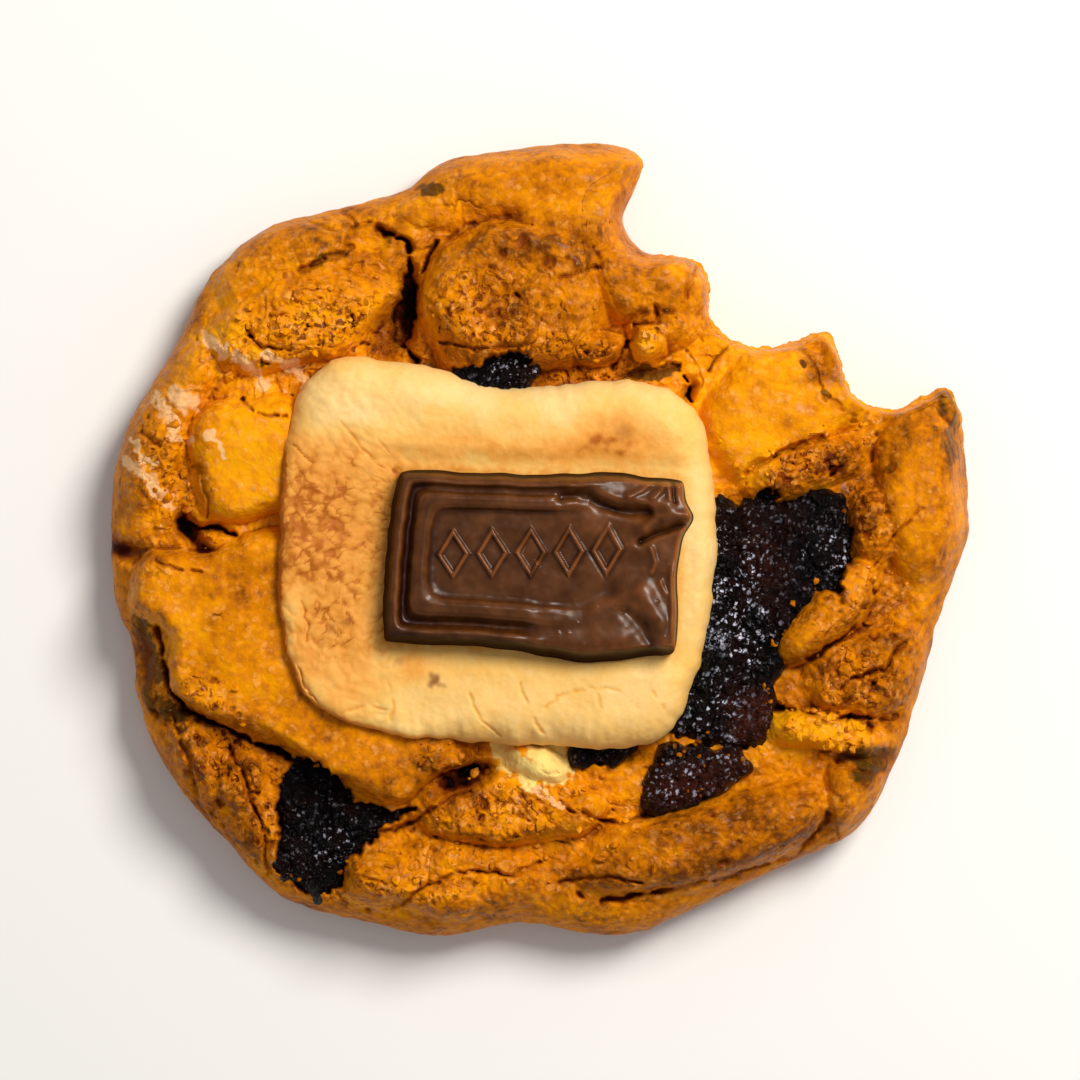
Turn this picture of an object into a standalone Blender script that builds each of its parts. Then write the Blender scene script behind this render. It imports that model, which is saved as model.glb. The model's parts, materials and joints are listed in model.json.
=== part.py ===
"""A bitten s'mores cookie, seen from above as it lies on a table.

A thick round of baked dough carries a toasted square marshmallow, sunk into its middle, with a
softened piece of milk chocolate on top. Seven chunks of dark chocolate show through the dough.
Sizes are in millimetres and are turned into metres when a mesh is made. X runs to the right,
Y away from the front and Z up. The origin is under the middle of the cookie, on the table.
"""

from collections import namedtuple

import bpy
import numpy as np

MM = 0.001
GAP = 0.3

# The cookie
WIDEST_Z = 4.2
DOUGH_HEIGHT = 10.2
CRUST_ROUND = 5.0
BITE_ROUND = 1.1
BITE_FOOT = 0.25
FOOT_RINGS = ((2.2, 0.5), (0.7, 1.4), (0.0, 2.6))
EDGE_STEPS = 176
TOP_RINGS = 19
RING_SMOOTHING = 9.0
RING_CROWDING = 1.45
SUPERELLIPSE = 2.4
LIP_STEEPNESS = 2.4
VALLEY_BLEND = 0.8
DEEPEST_VALLEY = -2.4
CRACK_SLOPE = 1.4
# Waves that carry the lumps' edges out of true, and crags on the crust: how high and how broad
EDGE_WAVES = ((1.5, 7.0), (0.3, 3.0))
CRAGS = ((1.2, 6.0), (0.7, 3.4))
SMOOTHEST_CRAGS = 0.25
PLAIN_ROUGHNESS = 0.6
FOLD_ROUGHNESS = 0.15
MOUTH_CENTRE = (44.0, 46.0)
MOUTH_RADIUS = 33.0
MOUTH_FADE = 2.0

# The marshmallow and the hollow that it sits in
RECESS_FLOOR = 6.3
MARSHMALLOW_SHOULDER = 13.2
MARSHMALLOW_TOP = 16.6
MARSHMALLOW_ROUND = 4.2
SEAT_DEPTH = 0.5
SEAT_MARGIN = 1.2
SEAT_FADE = 2.5
MARSHMALLOW_STEPS = 64
MARSHMALLOW_RINGS = (1.0, 0.975, 0.93, 0.87, 0.78, 0.66, 0.52, 0.36, 0.18)
MARSHMALLOW_PUFFS = ((0.5, 12.0), (0.25, 5.0))

# The milk chocolate piece
CHOCOLATE_BASE = MARSHMALLOW_TOP - SEAT_DEPTH + GAP
CHOCOLATE_HEIGHT = 4.7
CHOCOLATE_STOPS = (0, 0.7, 1.4, 2.1, 2.8, 3.5, 4.2, 4.8, 5.5, 6.2)
CHOCOLATE_MIDDLE_STEPS = (11, 5)
BEVEL_WIDTH = 2.1
GROOVE_START = 2.8
GROOVE_END = 4.8
PANEL_START = 5.5
PANEL_END = 6.2
GROOVE_DEPTH = 0.8
PANEL_DEPTH = 1.1
CHOCOLATE_NOSE = 1.1
CHOCOLATE_SAG = 1.4
# The melted right side: how far it has sunk, and its soft fold and dent, which are as deep
MELT_DEPTH = 0.7
MELT_ROUND = 2.4
MELT_FOLD = 0.9
THINNEST_EDGE = 0.9

# The dark chocolate chunks
POCKET_FLOOR = 7.0
CHUNK_STEPS = 20
CHUNK_ROUND = 1.3
THINNEST_WALL = 1.0
CHUNK_OFF_HOLLOW = 0.1
# How far in each ring of a chunk's top lies, and how far it has risen over the shoulder
CHUNK_RINGS = ((1.0, 0.0), (0.94, 0.6), (0.8, 1.0), (0.5, 1.0))
CHUNK_CRAGS = ((0.9, 3.4), (0.7, 1.9))

# The cookie's edge from above, anticlockwise from the right, with the bite at the upper right
COOKIE_EDGE = (
    (49.1, 0.0), (49.0, 8.1), (48.1, 15.2), (46.3, 17.7), (44.3, 16.4), (40.2, 15.0), (35.8, 16.8),
    (34.1, 21.6), (32.7, 23.9), (28.8, 22.7), (23.6, 22.3), (19.6, 25.5), (19.4, 29.7), (18.1, 31.9),
    (11.6, 33.4), (9.6, 36.8), (11.1, 40.7), (11.8, 43.7), (8.9, 45.3), (1.8, 45.5), (-5.3, 44.6),
    (-11.2, 43.4), (-15.8, 40.2), (-25.2, 37.7), (-31.6, 35.8), (-37.7, 30.5), (-42.0, 22.1),
    (-47.3, 13.3), (-49.1, 6.3), (-48.8, -6.6), (-46.9, -12.0), (-46.2, -18.6), (-42.5, -27.0),
    (-36.2, -34.4), (-29.4, -41.1), (-19.5, -44.0), (-11.4, -45.5), (-1.9, -44.0), (6.4, -45.4),
    (11.6, -45.0), (18.5, -42.0), (28.8, -37.0), (35.7, -33.8), (40.5, -26.6), (43.5, -17.8),
    (46.1, -8.3),
)

# The hollow that holds the marshmallow, a rounded square drawn out of true
RECESS_EDGE = (
    (19.2, 6.9), (17.2, 14.7), (11.5, 17.7), (-4.6, 17.3), (-14.4, 19.9), (-23.6, 20.1),
    (-27.6, 15.9), (-29.0, 4.6), (-28.9, -10.4), (-25.5, -18.1), (-17.3, -21.5), (0.0, -23.1),
    (12.9, -22.8), (16.6, -17.3), (19.1, -6.9),
)

# The milk chocolate's corners from above: front left, front right, back right, back left
CHOCOLATE_CORNERS = ((-17.8, -11.6), (15.4, -13.0), (16.5, 7.0), (-16.0, 8.2))

# A swelling of the dough: its middle, half its length and width, its turn in degrees, how far it
# stands above the dough, how wide its rounded lip is, and how rough its crust is
Lump = namedtuple("Lump", "x y half_length half_width turn rise lip rough")
LUMPS = (
    Lump(-29.3, 31.3, 9.5, 5.2, 22, 2.6, 3.0, 0.5),
    Lump(-27.6, 24.8, 12.0, 5.4, 16, 4.2, 3.4, 0.7),
    Lump(-0.6, 41.2, 13.0, 4.8, 5, 3.0, 3.6, 0.2),
    Lump(-11.5, 39.0, 5.0, 4.2, 0, 1.8, 2.8, 0.6),
    Lump(-3.0, 27.5, 11.4, 9.3, 8, 6.3, 3.8, 0.8),
    Lump(13.4, 28.8, 6.4, 4.4, -18, 4.2, 3.0, 0.3),
    Lump(13.8, 24.2, 4.8, 3.0, 4, 4.6, 2.8, 0.5),
    Lump(26.2, 14.4, 9.0, 7.4, 28, 3.6, 3.6, 0.1),
    Lump(34.2, 17.6, 4.4, 5.4, -10, 3.0, 2.8, 0.2),
    Lump(43.4, 4.8, 5.6, 11.6, 4, 4.0, 3.6, 0.1),
    Lump(30.2, 8.2, 8.2, 3.2, 18, 4.4, 2.8, 1.0),
    Lump(37.8, 1.2, 2.8, 6.2, 6, 3.8, 2.8, 0.9),
    Lump(32.8, -8.4, 8.6, 3.2, 44, 5.0, 2.8, 0.5),
    Lump(37.8, -15.0, 8.0, 5.6, 22, 3.0, 2.8, 0.9),
    Lump(32.0, -22.8, 7.6, 2.4, -3, 2.6, 2.8, 0.6),
    Lump(18.6, -34.2, 16.4, 5.2, 15, 4.6, 3.0, 0.5),
    Lump(36.4, -29.2, 5.0, 4.8, 0, 3.4, 2.8, 0.4),
    Lump(-4.4, -30.4, 11.4, 4.8, 2, 3.6, 2.8, 1.0),
    Lump(-10.4, -38.8, 12.8, 4.6, -4, 2.8, 2.8, 0.9),
    Lump(-34.0, 9.2, 6.4, 7.2, 0, 4.2, 3.0, 0.1),
    Lump(-43.2, 12.6, 11.6, 4.4, 66, 2.8, 2.8, 0.8),
    Lump(-36.4, -30.6, 10.8, 6.0, -48, 1.8, 2.8, 1.0),
)

# The smooth fold of dough on the left, which stands over the rough dough below it
FOLD_EDGE = (
    (-29.0, 1.0), (-29.0, -11.0), (-25.6, -18.6), (-17.0, -22.0), (-8.5, -23.4), (-10.0, -26.2),
    (-16.2, -30.2), (-22.4, -28.8), (-29.0, -24.2), (-38.0, -20.4), (-42.8, -16.0), (-43.0, -11.0),
    (-47.0, -7.0), (-46.0, -2.0), (-38.0, -0.6),
)
FOLD_RISE = 4.4
FOLD_LIP = 3.2

# A crack: how wide and how deep it is, and the points that it runs through
Crack = namedtuple("Crack", "width depth points")
CRACKS = (
    Crack(1.2, 3.4, ((-22.8, 37.6), (-21.2, 35.2), (-21.8, 31.4), (-26.4, 29.6))),
    Crack(1.3, 4.2, ((-18.4, 34.8), (-15.0, 33.6), (-14.4, 29.4), (-12.6, 31.8))),
    Crack(1.0, 3.2, ((13.2, 28.6), (12.0, 26.4), (9.4, 25.4), (8.0, 22.4))),
    Crack(0.8, 3.0, ((19.6, 25.4), (17.4, 23.4), (16.6, 18.6))),
    Crack(0.9, 2.2, ((23.2, 5.6), (26.6, 8.6), (32.0, 12.2))),
    Crack(1.4, 4.4, ((27.4, -14.6), (32.8, -12.4), (36.0, -8.6))),
    Crack(1.6, 4.6, ((-41.8, -17.8), (-38.0, -21.6), (-28.6, -25.6), (-22.6, -30.2), (-16.4, -31.6))),
    Crack(1.4, 4.0, ((-39.8, 2.2), (-37.8, 1.0), (-34.8, 1.2))),
    Crack(1.2, 3.0, ((34.6, -32.0), (29.0, -37.0), (20.0, -40.6), (8.0, -42.0))),
    Crack(1.0, 2.4, ((27.0, -20.0), (33.0, -19.8), (41.0, -21.6))),
)

# A deep hole between two folds: its middle, its half length and width, its turn and its depth
Hole = namedtuple("Hole", "x y half_length half_width turn depth")
HOLES = (
    Hole(-15.6, 25.6, 4.4, 1.9, 84, 6.5),
    Hole(-48.2, -1.0, 3.0, 1.2, -12, 3.5),
    Hole(-8.8, -27.2, 3.4, 1.6, 24, 4.0),
    Hole(40.4, -24.6, 2.8, 1.5, -20, 3.0),
    Hole(-43.6, -13.6, 2.2, 4.4, 12, 2.5),
)

# A chunk of dark chocolate: its name, the height of its top, and its edge from above, clockwise
Chunk = namedtuple("Chunk", "name top edge")
CHUNKS = (
    Chunk("chunk_right_back", 11.6, (
        (27.0, 3.0), (30.4, 4.6), (35.0, 4.4), (37.2, 1.8), (34.8, -2.2), (34.6, -5.2), (30.6, -5.6),
        (28.4, -2.4),
    )),
    Chunk("chunk_right", 12.4, (
        (19.8, 3.6), (23.0, 3.8), (25.0, 1.4), (26.8, -3.0), (29.0, -7.2), (27.4, -11.4),
        (24.6, -12.6), (19.2, -12.8), (19.8, -7.0),
    )),
    Chunk("chunk_right_front", 11.4, (
        (18.0, -14.6), (22.6, -13.8), (26.4, -15.2), (26.2, -20.6), (23.4, -23.2), (19.0, -23.0),
        (15.8, -21.4), (17.4, -18.0),
    )),
    Chunk("chunk_front", 12.6, (
        (12.6, -29.8), (13.0, -27.6), (17.4, -25.6), (23.4, -24.8), (22.4, -26.8), (18.4, -28.8),
        (14.4, -30.8),
    )),
    Chunk("chunk_front_left", 9.4, (
        (-29.4, -26.8), (-27.0, -26.2), (-22.6, -29.8), (-17.0, -31.4), (-19.0, -34.4),
        (-22.4, -35.8), (-22.6, -39.0), (-25.2, -40.0), (-28.6, -38.0), (-29.4, -32.4),
    )),
    Chunk("chunk_back", 13.6, (
        (-9.0, 19.3), (-7.0, 19.9), (-4.6, 20.6), (-1.4, 20.9), (-1.4, 18.2), (-4.2, 17.9),
        (-6.8, 18.3),
    )),
    Chunk("chunk_middle_front", 11.2, (
        (4.6, -23.9), (8.2, -23.9), (12.8, -23.9), (11.6, -24.8), (7.0, -26.2), (4.6, -25.4),
    )),
)


def clear_scene():
    for old in list(bpy.data.objects):
        bpy.data.objects.remove(old, do_unlink=True)


def lattice(ix, iy, seed):
    """A repeatable number from 0 to 1 for each lattice point, by mixing the bits of its place."""
    mixed = (ix * 374761393 + iy * 668265263 + seed * 974634777) & 0xFFFFFFFF
    mixed = ((mixed ^ (mixed >> 13)) * 1274126177) & 0xFFFFFFFF
    return ((mixed ^ (mixed >> 16)) & 0xFFFF) / 65535.0


def noise(x, y, grain, seed):
    """Gradient noise, about -0.7 to 0.7, with swellings about one grain apart."""
    gx, gy = x / grain, y / grain
    ix, iy = np.floor(gx).astype(np.int64), np.floor(gy).astype(np.int64)
    fx, fy = gx - ix, gy - iy
    ease_x = fx**3 * (fx * (fx * 6 - 15) + 10)
    ease_y = fy**3 * (fy * (fy * 6 - 15) + 10)
    total = 0.0
    for dx in (0, 1):
        for dy in (0, 1):
            angle = 2 * np.pi * lattice(ix + dx, iy + dy, seed)
            slope = np.cos(angle) * (fx - dx) + np.sin(angle) * (fy - dy)
            weight = (ease_x if dx else 1 - ease_x) * (ease_y if dy else 1 - ease_y)
            total = total + weight * slope
    return total


def waves(x, y, sizes, seed):
    """Noise summed over several sizes, each given as how high and how broad its swellings are."""
    return sum(height * noise(x, y, grain, seed + k) for k, (height, grain) in enumerate(sizes))


def smoothstep(low, high, value):
    t = np.clip((value - low) / (high - low), 0, 1)
    return t * t * (3 - 2 * t)


def quarter_round(t):
    """Height of a quarter circle, from 0 at its edge to 1 where it is level."""
    return np.sqrt(1 - (1 - np.clip(t, 0, 1)) ** 2)


def closed_spline(points, steps=16):
    """A centripetal Catmull-Rom curve through the points, back to the first one."""
    p1 = np.array(points, float)
    p0, p2, p3 = np.roll(p1, 1, 0), np.roll(p1, -1, 0), np.roll(p1, -2, 0)
    t01, t12, t23 = (np.sqrt(np.linalg.norm(b - a, axis=1))[:, None] for a, b in ((p0, p1), (p1, p2), (p2, p3)))
    m1 = (p2 - p1) + t12 * ((p1 - p0) / t01 - (p2 - p0) / (t01 + t12))
    m2 = (p2 - p1) + t12 * ((p3 - p2) / t23 - (p3 - p1) / (t12 + t23))
    s = (np.arange(steps) / steps)[None, :, None]
    curve = (
        (2 * s**3 - 3 * s**2 + 1) * p1[:, None]
        + (s**3 - 2 * s**2 + s) * m1[:, None]
        + (3 * s**2 - 2 * s**3) * p2[:, None]
        + (s**3 - s**2) * m2[:, None]
    )
    return curve.reshape(-1, 2)


def evenly_spaced(curve, count):
    """The closed curve again, as count points the same distance apart."""
    closed = np.vstack([curve, curve[:1]])
    along = np.concatenate([[0], np.cumsum(np.linalg.norm(np.diff(closed, axis=0), axis=1))])
    at = np.linspace(0, along[-1], count, endpoint=False)
    return np.stack([np.interp(at, along, closed[:, k]) for k in (0, 1)], axis=1)


def softened(curve, width):
    """The closed curve with its waves shorter than about the width faded out."""
    spacing = np.linalg.norm(np.diff(curve, axis=0), axis=1).mean()
    waves = np.fft.fft(curve[:, 0] + 1j * curve[:, 1])
    turns = np.fft.fftfreq(len(curve)) * 2 * np.pi / spacing
    smooth = np.fft.ifft(waves * np.exp(-0.5 * (turns * width) ** 2))
    return np.stack([smooth.real, smooth.imag], axis=1)


def outward(curve):
    """Unit normals that point out of an anticlockwise closed curve."""
    along = np.roll(curve, -1, 0) - np.roll(curve, 1, 0)
    along /= np.linalg.norm(along, axis=1)[:, None]
    return np.stack([along[:, 1], -along[:, 0]], axis=1)


def grown(curve, distance):
    """The closed curve moved outwards by the distance."""
    return curve + distance * outward(softened(curve, 1.0))


def distance_to_line(x, y, points):
    """The shortest distance from each place to a line through the points."""
    nearest = np.full(np.shape(x), np.inf)
    for (ax, ay), (bx, by) in zip(points[:-1], points[1:]):
        dx, dy = bx - ax, by - ay
        t = np.clip(((x - ax) * dx + (y - ay) * dy) / (dx * dx + dy * dy), 0, 1)
        nearest = np.minimum(nearest, np.hypot(x - ax - t * dx, y - ay - t * dy))
    return nearest


def depth_inside(x, y, curve):
    """How far each place is inside a closed curve, and below zero outside it."""
    closed = np.vstack([curve, curve[:1]])
    crossings = np.zeros(np.shape(x), int)
    for (ax, ay), (bx, by) in zip(closed[:-1], closed[1:]):
        if ay != by:
            crossings += ((ay > y) != (by > y)) & (x < ax + (y - ay) * (bx - ax) / (by - ay))
    return distance_to_line(x, y, closed) * np.where(crossings % 2 == 1, 1, -1)


def in_ellipse(x, y, shape):
    """About how far each place is inside the shape's rounded oval, and below zero outside it."""
    turn = np.radians(shape.turn)
    u = (x - shape.x) * np.cos(turn) + (y - shape.y) * np.sin(turn)
    v = (y - shape.y) * np.cos(turn) - (x - shape.x) * np.sin(turn)
    out = np.abs(u / shape.half_length) ** SUPERELLIPSE + np.abs(v / shape.half_width) ** SUPERELLIPSE
    return (1 - out ** (1 / SUPERELLIPSE)) * min(shape.half_length, shape.half_width)


def swell(t):
    """A rounded lip: it climbs steeply from 0 at its edge and eases to 1 where it is level."""
    return 1 - (1 - np.clip(t, 0, 1)) ** LIP_STEEPNESS


def soft_max(a, b):
    """The higher of two heights, with the valley between them filled a little."""
    h = np.clip(VALLEY_BLEND - np.abs(a - b), 0, None) / VALLEY_BLEND
    return np.maximum(a, b) + h * h * VALLEY_BLEND / 4


def dough_height(x, y):
    """The height of the baked dough's crust, before it rounds over at its edge."""
    wx = x + waves(x, y, EDGE_WAVES, 1)
    wy = y + waves(x, y, EDGE_WAVES, 3)
    rise = np.zeros(np.shape(x))
    rough = np.full(np.shape(x), PLAIN_ROUGHNESS)
    for lump in LUMPS:
        inside = in_ellipse(wx, wy, lump)
        rise = soft_max(rise, lump.rise * swell(inside / lump.lip))
        rough += (lump.rough - rough) * smoothstep(-GAP, 1, inside)
    inside = depth_inside(wx, wy, closed_spline(FOLD_EDGE, 3))
    rise = soft_max(rise, FOLD_RISE * swell(inside / FOLD_LIP))
    rough += (FOLD_ROUGHNESS - rough) * smoothstep(-GAP, 1, inside)
    for crack in CRACKS:
        near = distance_to_line(wx, wy, crack.points)
        rise -= crack.depth * (1 - smoothstep(0, CRACK_SLOPE + crack.width, near))
    for hole in HOLES:
        rise -= hole.depth * smoothstep(-1, 1, in_ellipse(wx, wy, hole))
    crag = waves(x, y, CRAGS, 5) * (SMOOTHEST_CRAGS + (1 - SMOOTHEST_CRAGS) * rough)
    return DOUGH_HEIGHT + np.maximum(rise, DEEPEST_VALLEY) + crag


def recess_curve():
    return evenly_spaced(closed_spline(RECESS_EDGE), 360)


def top_rings(edge, count):
    """Rings of places from the hollow's edge to the cookie's, closer together near the outside.

    Each ring mixes the hollow's edge with the cookie's, whose short waves fade towards the inside.
    """
    recess = recess_curve()
    middle = recess.mean(axis=0)
    turn = np.unwrap(np.arctan2(*(softened(edge, RING_SMOOTHING) - middle).T[::-1]))
    recess_turn = np.unwrap(np.arctan2(*(recess - middle).T[::-1]))
    order = np.argsort(recess_turn % (2 * np.pi))
    reach = np.linalg.norm(recess - middle, axis=1)
    reach = np.interp(turn, recess_turn[order] % (2 * np.pi), reach[order], period=2 * np.pi)
    inner = middle + reach[:, None] * np.stack([np.cos(turn), np.sin(turn)], axis=1)
    share = 1 - (1 - np.linspace(0, 1, count)) ** RING_CROWDING
    return [(1 - s) * inner + s * softened(edge, RING_SMOOTHING * (1 - s)) for s in share]


def mesh_object(name, points, faces, material):
    """A smooth mesh object from points in millimetres, with its faces pointing out."""
    mesh = bpy.data.meshes.new(name)
    mesh.from_pydata((np.asarray(points, float) * MM).tolist(), [], faces)
    mesh.validate()
    mesh.shade_smooth()
    mesh.materials.append(material)
    made = bpy.data.objects.new(name, mesh)
    bpy.context.scene.collection.objects.link(made)
    return made


def ring_solid(name, rings, material):
    """A closed solid skinned over rings of equal length, from its underside up and over its top.

    The first and last ring are closed by a fan to a point in their middle.
    """
    steps = len(rings[0])
    points = np.vstack([*rings, rings[0].mean(axis=0)[None], rings[-1].mean(axis=0)[None]])
    first, last = len(points) - 2, len(points) - 1
    faces = []
    for j in range(steps):
        k = (j + 1) % steps
        faces.append((first, k, j))
        for r in range(len(rings) - 1):
            low, high = r * steps, (r + 1) * steps
            faces.append((low + j, low + k, high + k, high + j))
        top = (len(rings) - 1) * steps
        faces.append((top + j, top + k, last))
    return mesh_object(name, points, faces, material)


def at_height(curve, z):
    return np.column_stack([curve, np.broadcast_to(z, len(curve))])


def plain_material(name, red, green, blue, roughness):
    made = bpy.data.materials.new(name)
    made.use_nodes = True
    shader = made.node_tree.nodes["Principled BSDF"]
    shader.inputs["Base Color"].default_value = (red, green, blue, 1)
    shader.inputs["Roughness"].default_value = roughness
    shader.inputs["Metallic"].default_value = 0
    return made


def cut_pocket(target, cutter):
    cutter.hide_render = True
    cutter.display_type = "WIRE"
    cut = target.modifiers.new("pocket_" + cutter.name, "BOOLEAN")
    cut.operation = "DIFFERENCE"
    cut.solver = "EXACT"
    cut.object = cutter


def make_cookie(material):
    """The bitten dough, with the hollow for the marshmallow in its top."""
    edge = evenly_spaced(closed_spline(COOKIE_EDGE), EDGE_STEPS)
    in_bite = 1 - smoothstep(
        MOUTH_RADIUS - MOUTH_FADE, MOUTH_RADIUS + MOUTH_FADE, np.linalg.norm(edge - MOUTH_CENTRE, axis=1)
    )
    closed_edge = np.vstack([edge, edge[:1]])
    rounding = CRUST_ROUND + (BITE_ROUND - CRUST_ROUND) * in_bite
    foot_share = 1 - (1 - BITE_FOOT) * in_bite
    rings = []
    for z, inset in reversed(FOOT_RINGS):
        drawn_in = softened(edge, inset) - outward(softened(edge, 2 + inset)) * (inset * foot_share)[:, None]
        rings.append(at_height(drawn_in, z))
    for flat in reversed(top_rings(edge, TOP_RINGS)):
        x, y = flat.T
        from_edge = distance_to_line(x, y, closed_edge)
        over = quarter_round(from_edge / rounding)
        rings.append(at_height(flat, WIDEST_Z + (dough_height(x, y) - WIDEST_Z) * over))
    rings.append(at_height(rings[-1][:, :2], RECESS_FLOOR))
    return ring_solid("cookie", rings, material)


def marshmallow_height(x, y, from_edge):
    """A puffed top with rounded shoulders, pressed down where the chocolate sits."""
    over = quarter_round(from_edge / MARSHMALLOW_ROUND)
    top = MARSHMALLOW_TOP + waves(x, y, MARSHMALLOW_PUFFS, 21)
    seat = depth_inside(x, y, np.array(CHOCOLATE_CORNERS))
    pressed = smoothstep(-SEAT_MARGIN - SEAT_FADE, -SEAT_MARGIN, seat)
    top = top + (MARSHMALLOW_TOP - SEAT_DEPTH - top) * pressed
    return MARSHMALLOW_SHOULDER + (top - MARSHMALLOW_SHOULDER) * over


def make_marshmallow(material):
    """The toasted marshmallow, flat below and puffed above, a gap away from the dough."""
    edge = grown(evenly_spaced(recess_curve(), MARSHMALLOW_STEPS), -GAP)
    closed_edge = np.vstack([edge, edge[:1]])
    bottom = RECESS_FLOOR + GAP
    rings = [at_height(edge, bottom), at_height(edge, (bottom + MARSHMALLOW_SHOULDER) / 2)]
    middle = edge.mean(axis=0)
    for share in MARSHMALLOW_RINGS:
        flat = middle + share * (softened(edge, 6 * (1 - share)) - middle)
        x, y = flat.T
        rings.append(at_height(flat, marshmallow_height(x, y, distance_to_line(x, y, closed_edge))))
    return ring_solid("marshmallow", rings, material)


def chocolate_surface(u, v):
    """Places and heights over the piece, as u and v run from 0 to 1 along and across it.

    From each edge the top climbs a bevel to a flat frame, crosses a groove to a second ridge and
    drops to a sunk panel. At the right the frame has melted into soft folds.
    """
    front_left, front_right, back_right, back_left = (np.array(c) for c in CHOCOLATE_CORNERS)
    u3, v3 = u[..., None], v[..., None]
    flat = (1 - v3) * ((1 - u3) * front_left + u3 * front_right) + v3 * ((1 - u3) * back_left + u3 * back_right)
    flat[..., 0] += CHOCOLATE_NOSE * u**6 * np.exp(-(((v - 0.74) / 0.1) ** 2))
    flat[..., 1] -= CHOCOLATE_SAG * (1 - v) ** 3 * np.sin(np.pi * u**1.8)
    length = np.linalg.norm(front_right - front_left)
    width = np.linalg.norm(back_left - front_left)
    from_edge = np.minimum(np.minimum(u, 1 - u) * length, np.minimum(v, 1 - v) * width)
    bevel = smoothstep(-GAP, BEVEL_WIDTH, from_edge)
    groove = 1 - smoothstep(0.4, 1.0, np.abs(from_edge - (GROOVE_START + GROOVE_END) / 2))
    panel = smoothstep(PANEL_START, PANEL_END, from_edge)
    crisp = CHOCOLATE_HEIGHT * bevel - GROOVE_DEPTH * groove - PANEL_DEPTH * panel
    slump = 0.9 + 0.1 * np.sin(7 * u + 4 * v)
    fold = MELT_FOLD * np.exp(-(((v - 0.74 + 0.25 * (u - 0.7)) / 0.07) ** 2)) * smoothstep(0.45, 0.7, u)
    dent = MELT_FOLD * np.exp(-(((v - 0.16) / 0.12) ** 2)) * smoothstep(0.5, 0.75, u)
    soft = (CHOCOLATE_HEIGHT - MELT_DEPTH) * slump * smoothstep(-GAP, MELT_ROUND, from_edge) + fold - dent
    melted = smoothstep(0.35, 0.75, u + 0.35 * np.abs(v - 0.5))
    height = crisp + (soft - crisp) * melted
    return flat, CHOCOLATE_BASE + np.maximum(height, THINNEST_EDGE)


def graded(length, middle_steps):
    """Shares from 0 to 1 along a side, with the stops of the moulded edge at both ends."""
    stops = np.array(CHOCOLATE_STOPS) / length
    return np.concatenate([stops[:-1], np.linspace(stops[-1], 1 - stops[-1], middle_steps), 1 - stops[-2::-1]])


def make_chocolate(material):
    """The milk chocolate piece: a moulded top over straight low sides and a flat underside."""
    front_left, front_right, _, back_left = np.array(CHOCOLATE_CORNERS)
    along = graded(np.linalg.norm(front_right - front_left), CHOCOLATE_MIDDLE_STEPS[0])
    across = graded(np.linalg.norm(back_left - front_left), CHOCOLATE_MIDDLE_STEPS[1])
    u, v = np.meshgrid(along, across)
    nv, nu = u.shape
    flat, height = chocolate_surface(u, v)
    top = np.dstack([flat, height]).reshape(-1, 3)
    grid = np.arange(nu * nv).reshape(nv, nu)
    around = np.concatenate([grid[0, :-1], grid[:-1, -1], grid[-1, :0:-1], grid[:0:-1, 0]])
    under = top[around] * (1, 1, 0) + (0, 0, CHOCOLATE_BASE)
    low = len(top) + np.arange(len(around))
    faces = np.stack([grid[:-1, :-1], grid[:-1, 1:], grid[1:, 1:], grid[1:, :-1]], axis=-1).reshape(-1, 4).tolist()
    for j in range(len(around)):
        k = (j + 1) % len(around)
        faces.append((low[j], low[k], around[k], around[j]))
    faces.append(tuple(low[::-1]))
    return mesh_object("chocolate_piece", np.vstack([top, under]), faces, material)


def chunk_curve(chunk):
    """The chunk's edge, drawn right up to the marshmallow's hollow where it comes close to it."""
    curve = evenly_spaced(closed_spline(chunk.edge[::-1]), CHUNK_STEPS)
    recess = recess_curve()
    nearest = np.linalg.norm(curve[:, None] - recess[None], axis=2).argmin(axis=1)
    outside = ((curve - recess[nearest]) * outward(recess)[nearest]).sum(axis=1)
    close = (outside < THINNEST_WALL)[:, None]
    return np.where(close, grown(recess, CHUNK_OFF_HOLLOW)[nearest], curve)


def make_chunk(chunk, material):
    """A rough broken lump: straight sides below, a rounded shoulder and an uneven top."""
    edge = chunk_curve(chunk)
    middle = edge.mean(axis=0)
    bottom = POCKET_FLOOR + GAP
    rings = [at_height(edge, bottom)]
    for share, over in CHUNK_RINGS:
        flat = middle + share * (softened(edge, 2 * (1 - share)) - middle)
        x, y = flat.T
        crag = waves(x, y, CHUNK_CRAGS, 31)
        rings.append(at_height(flat, chunk.top - CHUNK_ROUND * (1 - over) + crag * over))
    return ring_solid(chunk.name, rings, material)


def make_pocket(chunk, material):
    """The tool that cuts a chunk's place out of the dough, a gap larger all round."""
    edge = grown(chunk_curve(chunk), GAP)
    rings = [at_height(edge, POCKET_FLOOR), at_height(edge, chunk.top + 12)]
    return ring_solid(chunk.name + "_pocket", rings, material)


def main():
    clear_scene()
    dough = plain_material("baked_dough", 0.60, 0.28, 0.05, 0.55)
    marshmallow = plain_material("toasted_marshmallow", 0.87, 0.62, 0.28, 0.60)
    milk_chocolate = plain_material("milk_chocolate", 0.13, 0.05, 0.02, 0.35)
    dark_chocolate = plain_material("dark_chocolate", 0.02, 0.01, 0.01, 0.25)
    cookie = make_cookie(dough)
    make_marshmallow(marshmallow)
    make_chocolate(milk_chocolate)
    for chunk in CHUNKS:
        make_chunk(chunk, dark_chocolate)
        cut_pocket(cookie, make_pocket(chunk, dark_chocolate))


main()
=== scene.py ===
"""The looks of a bitten s'mores cookie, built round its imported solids.

Sizes are in millimetres, with X to the right, Y to the back and Z up, and turn into metres when a
mesh is made. Each piece is a closed surface worked out on a grid of two parameters: one runs round
the piece, and the other from the middle of its top, over its edge, to the middle of its underside.
"""

import json
from collections import namedtuple

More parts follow.
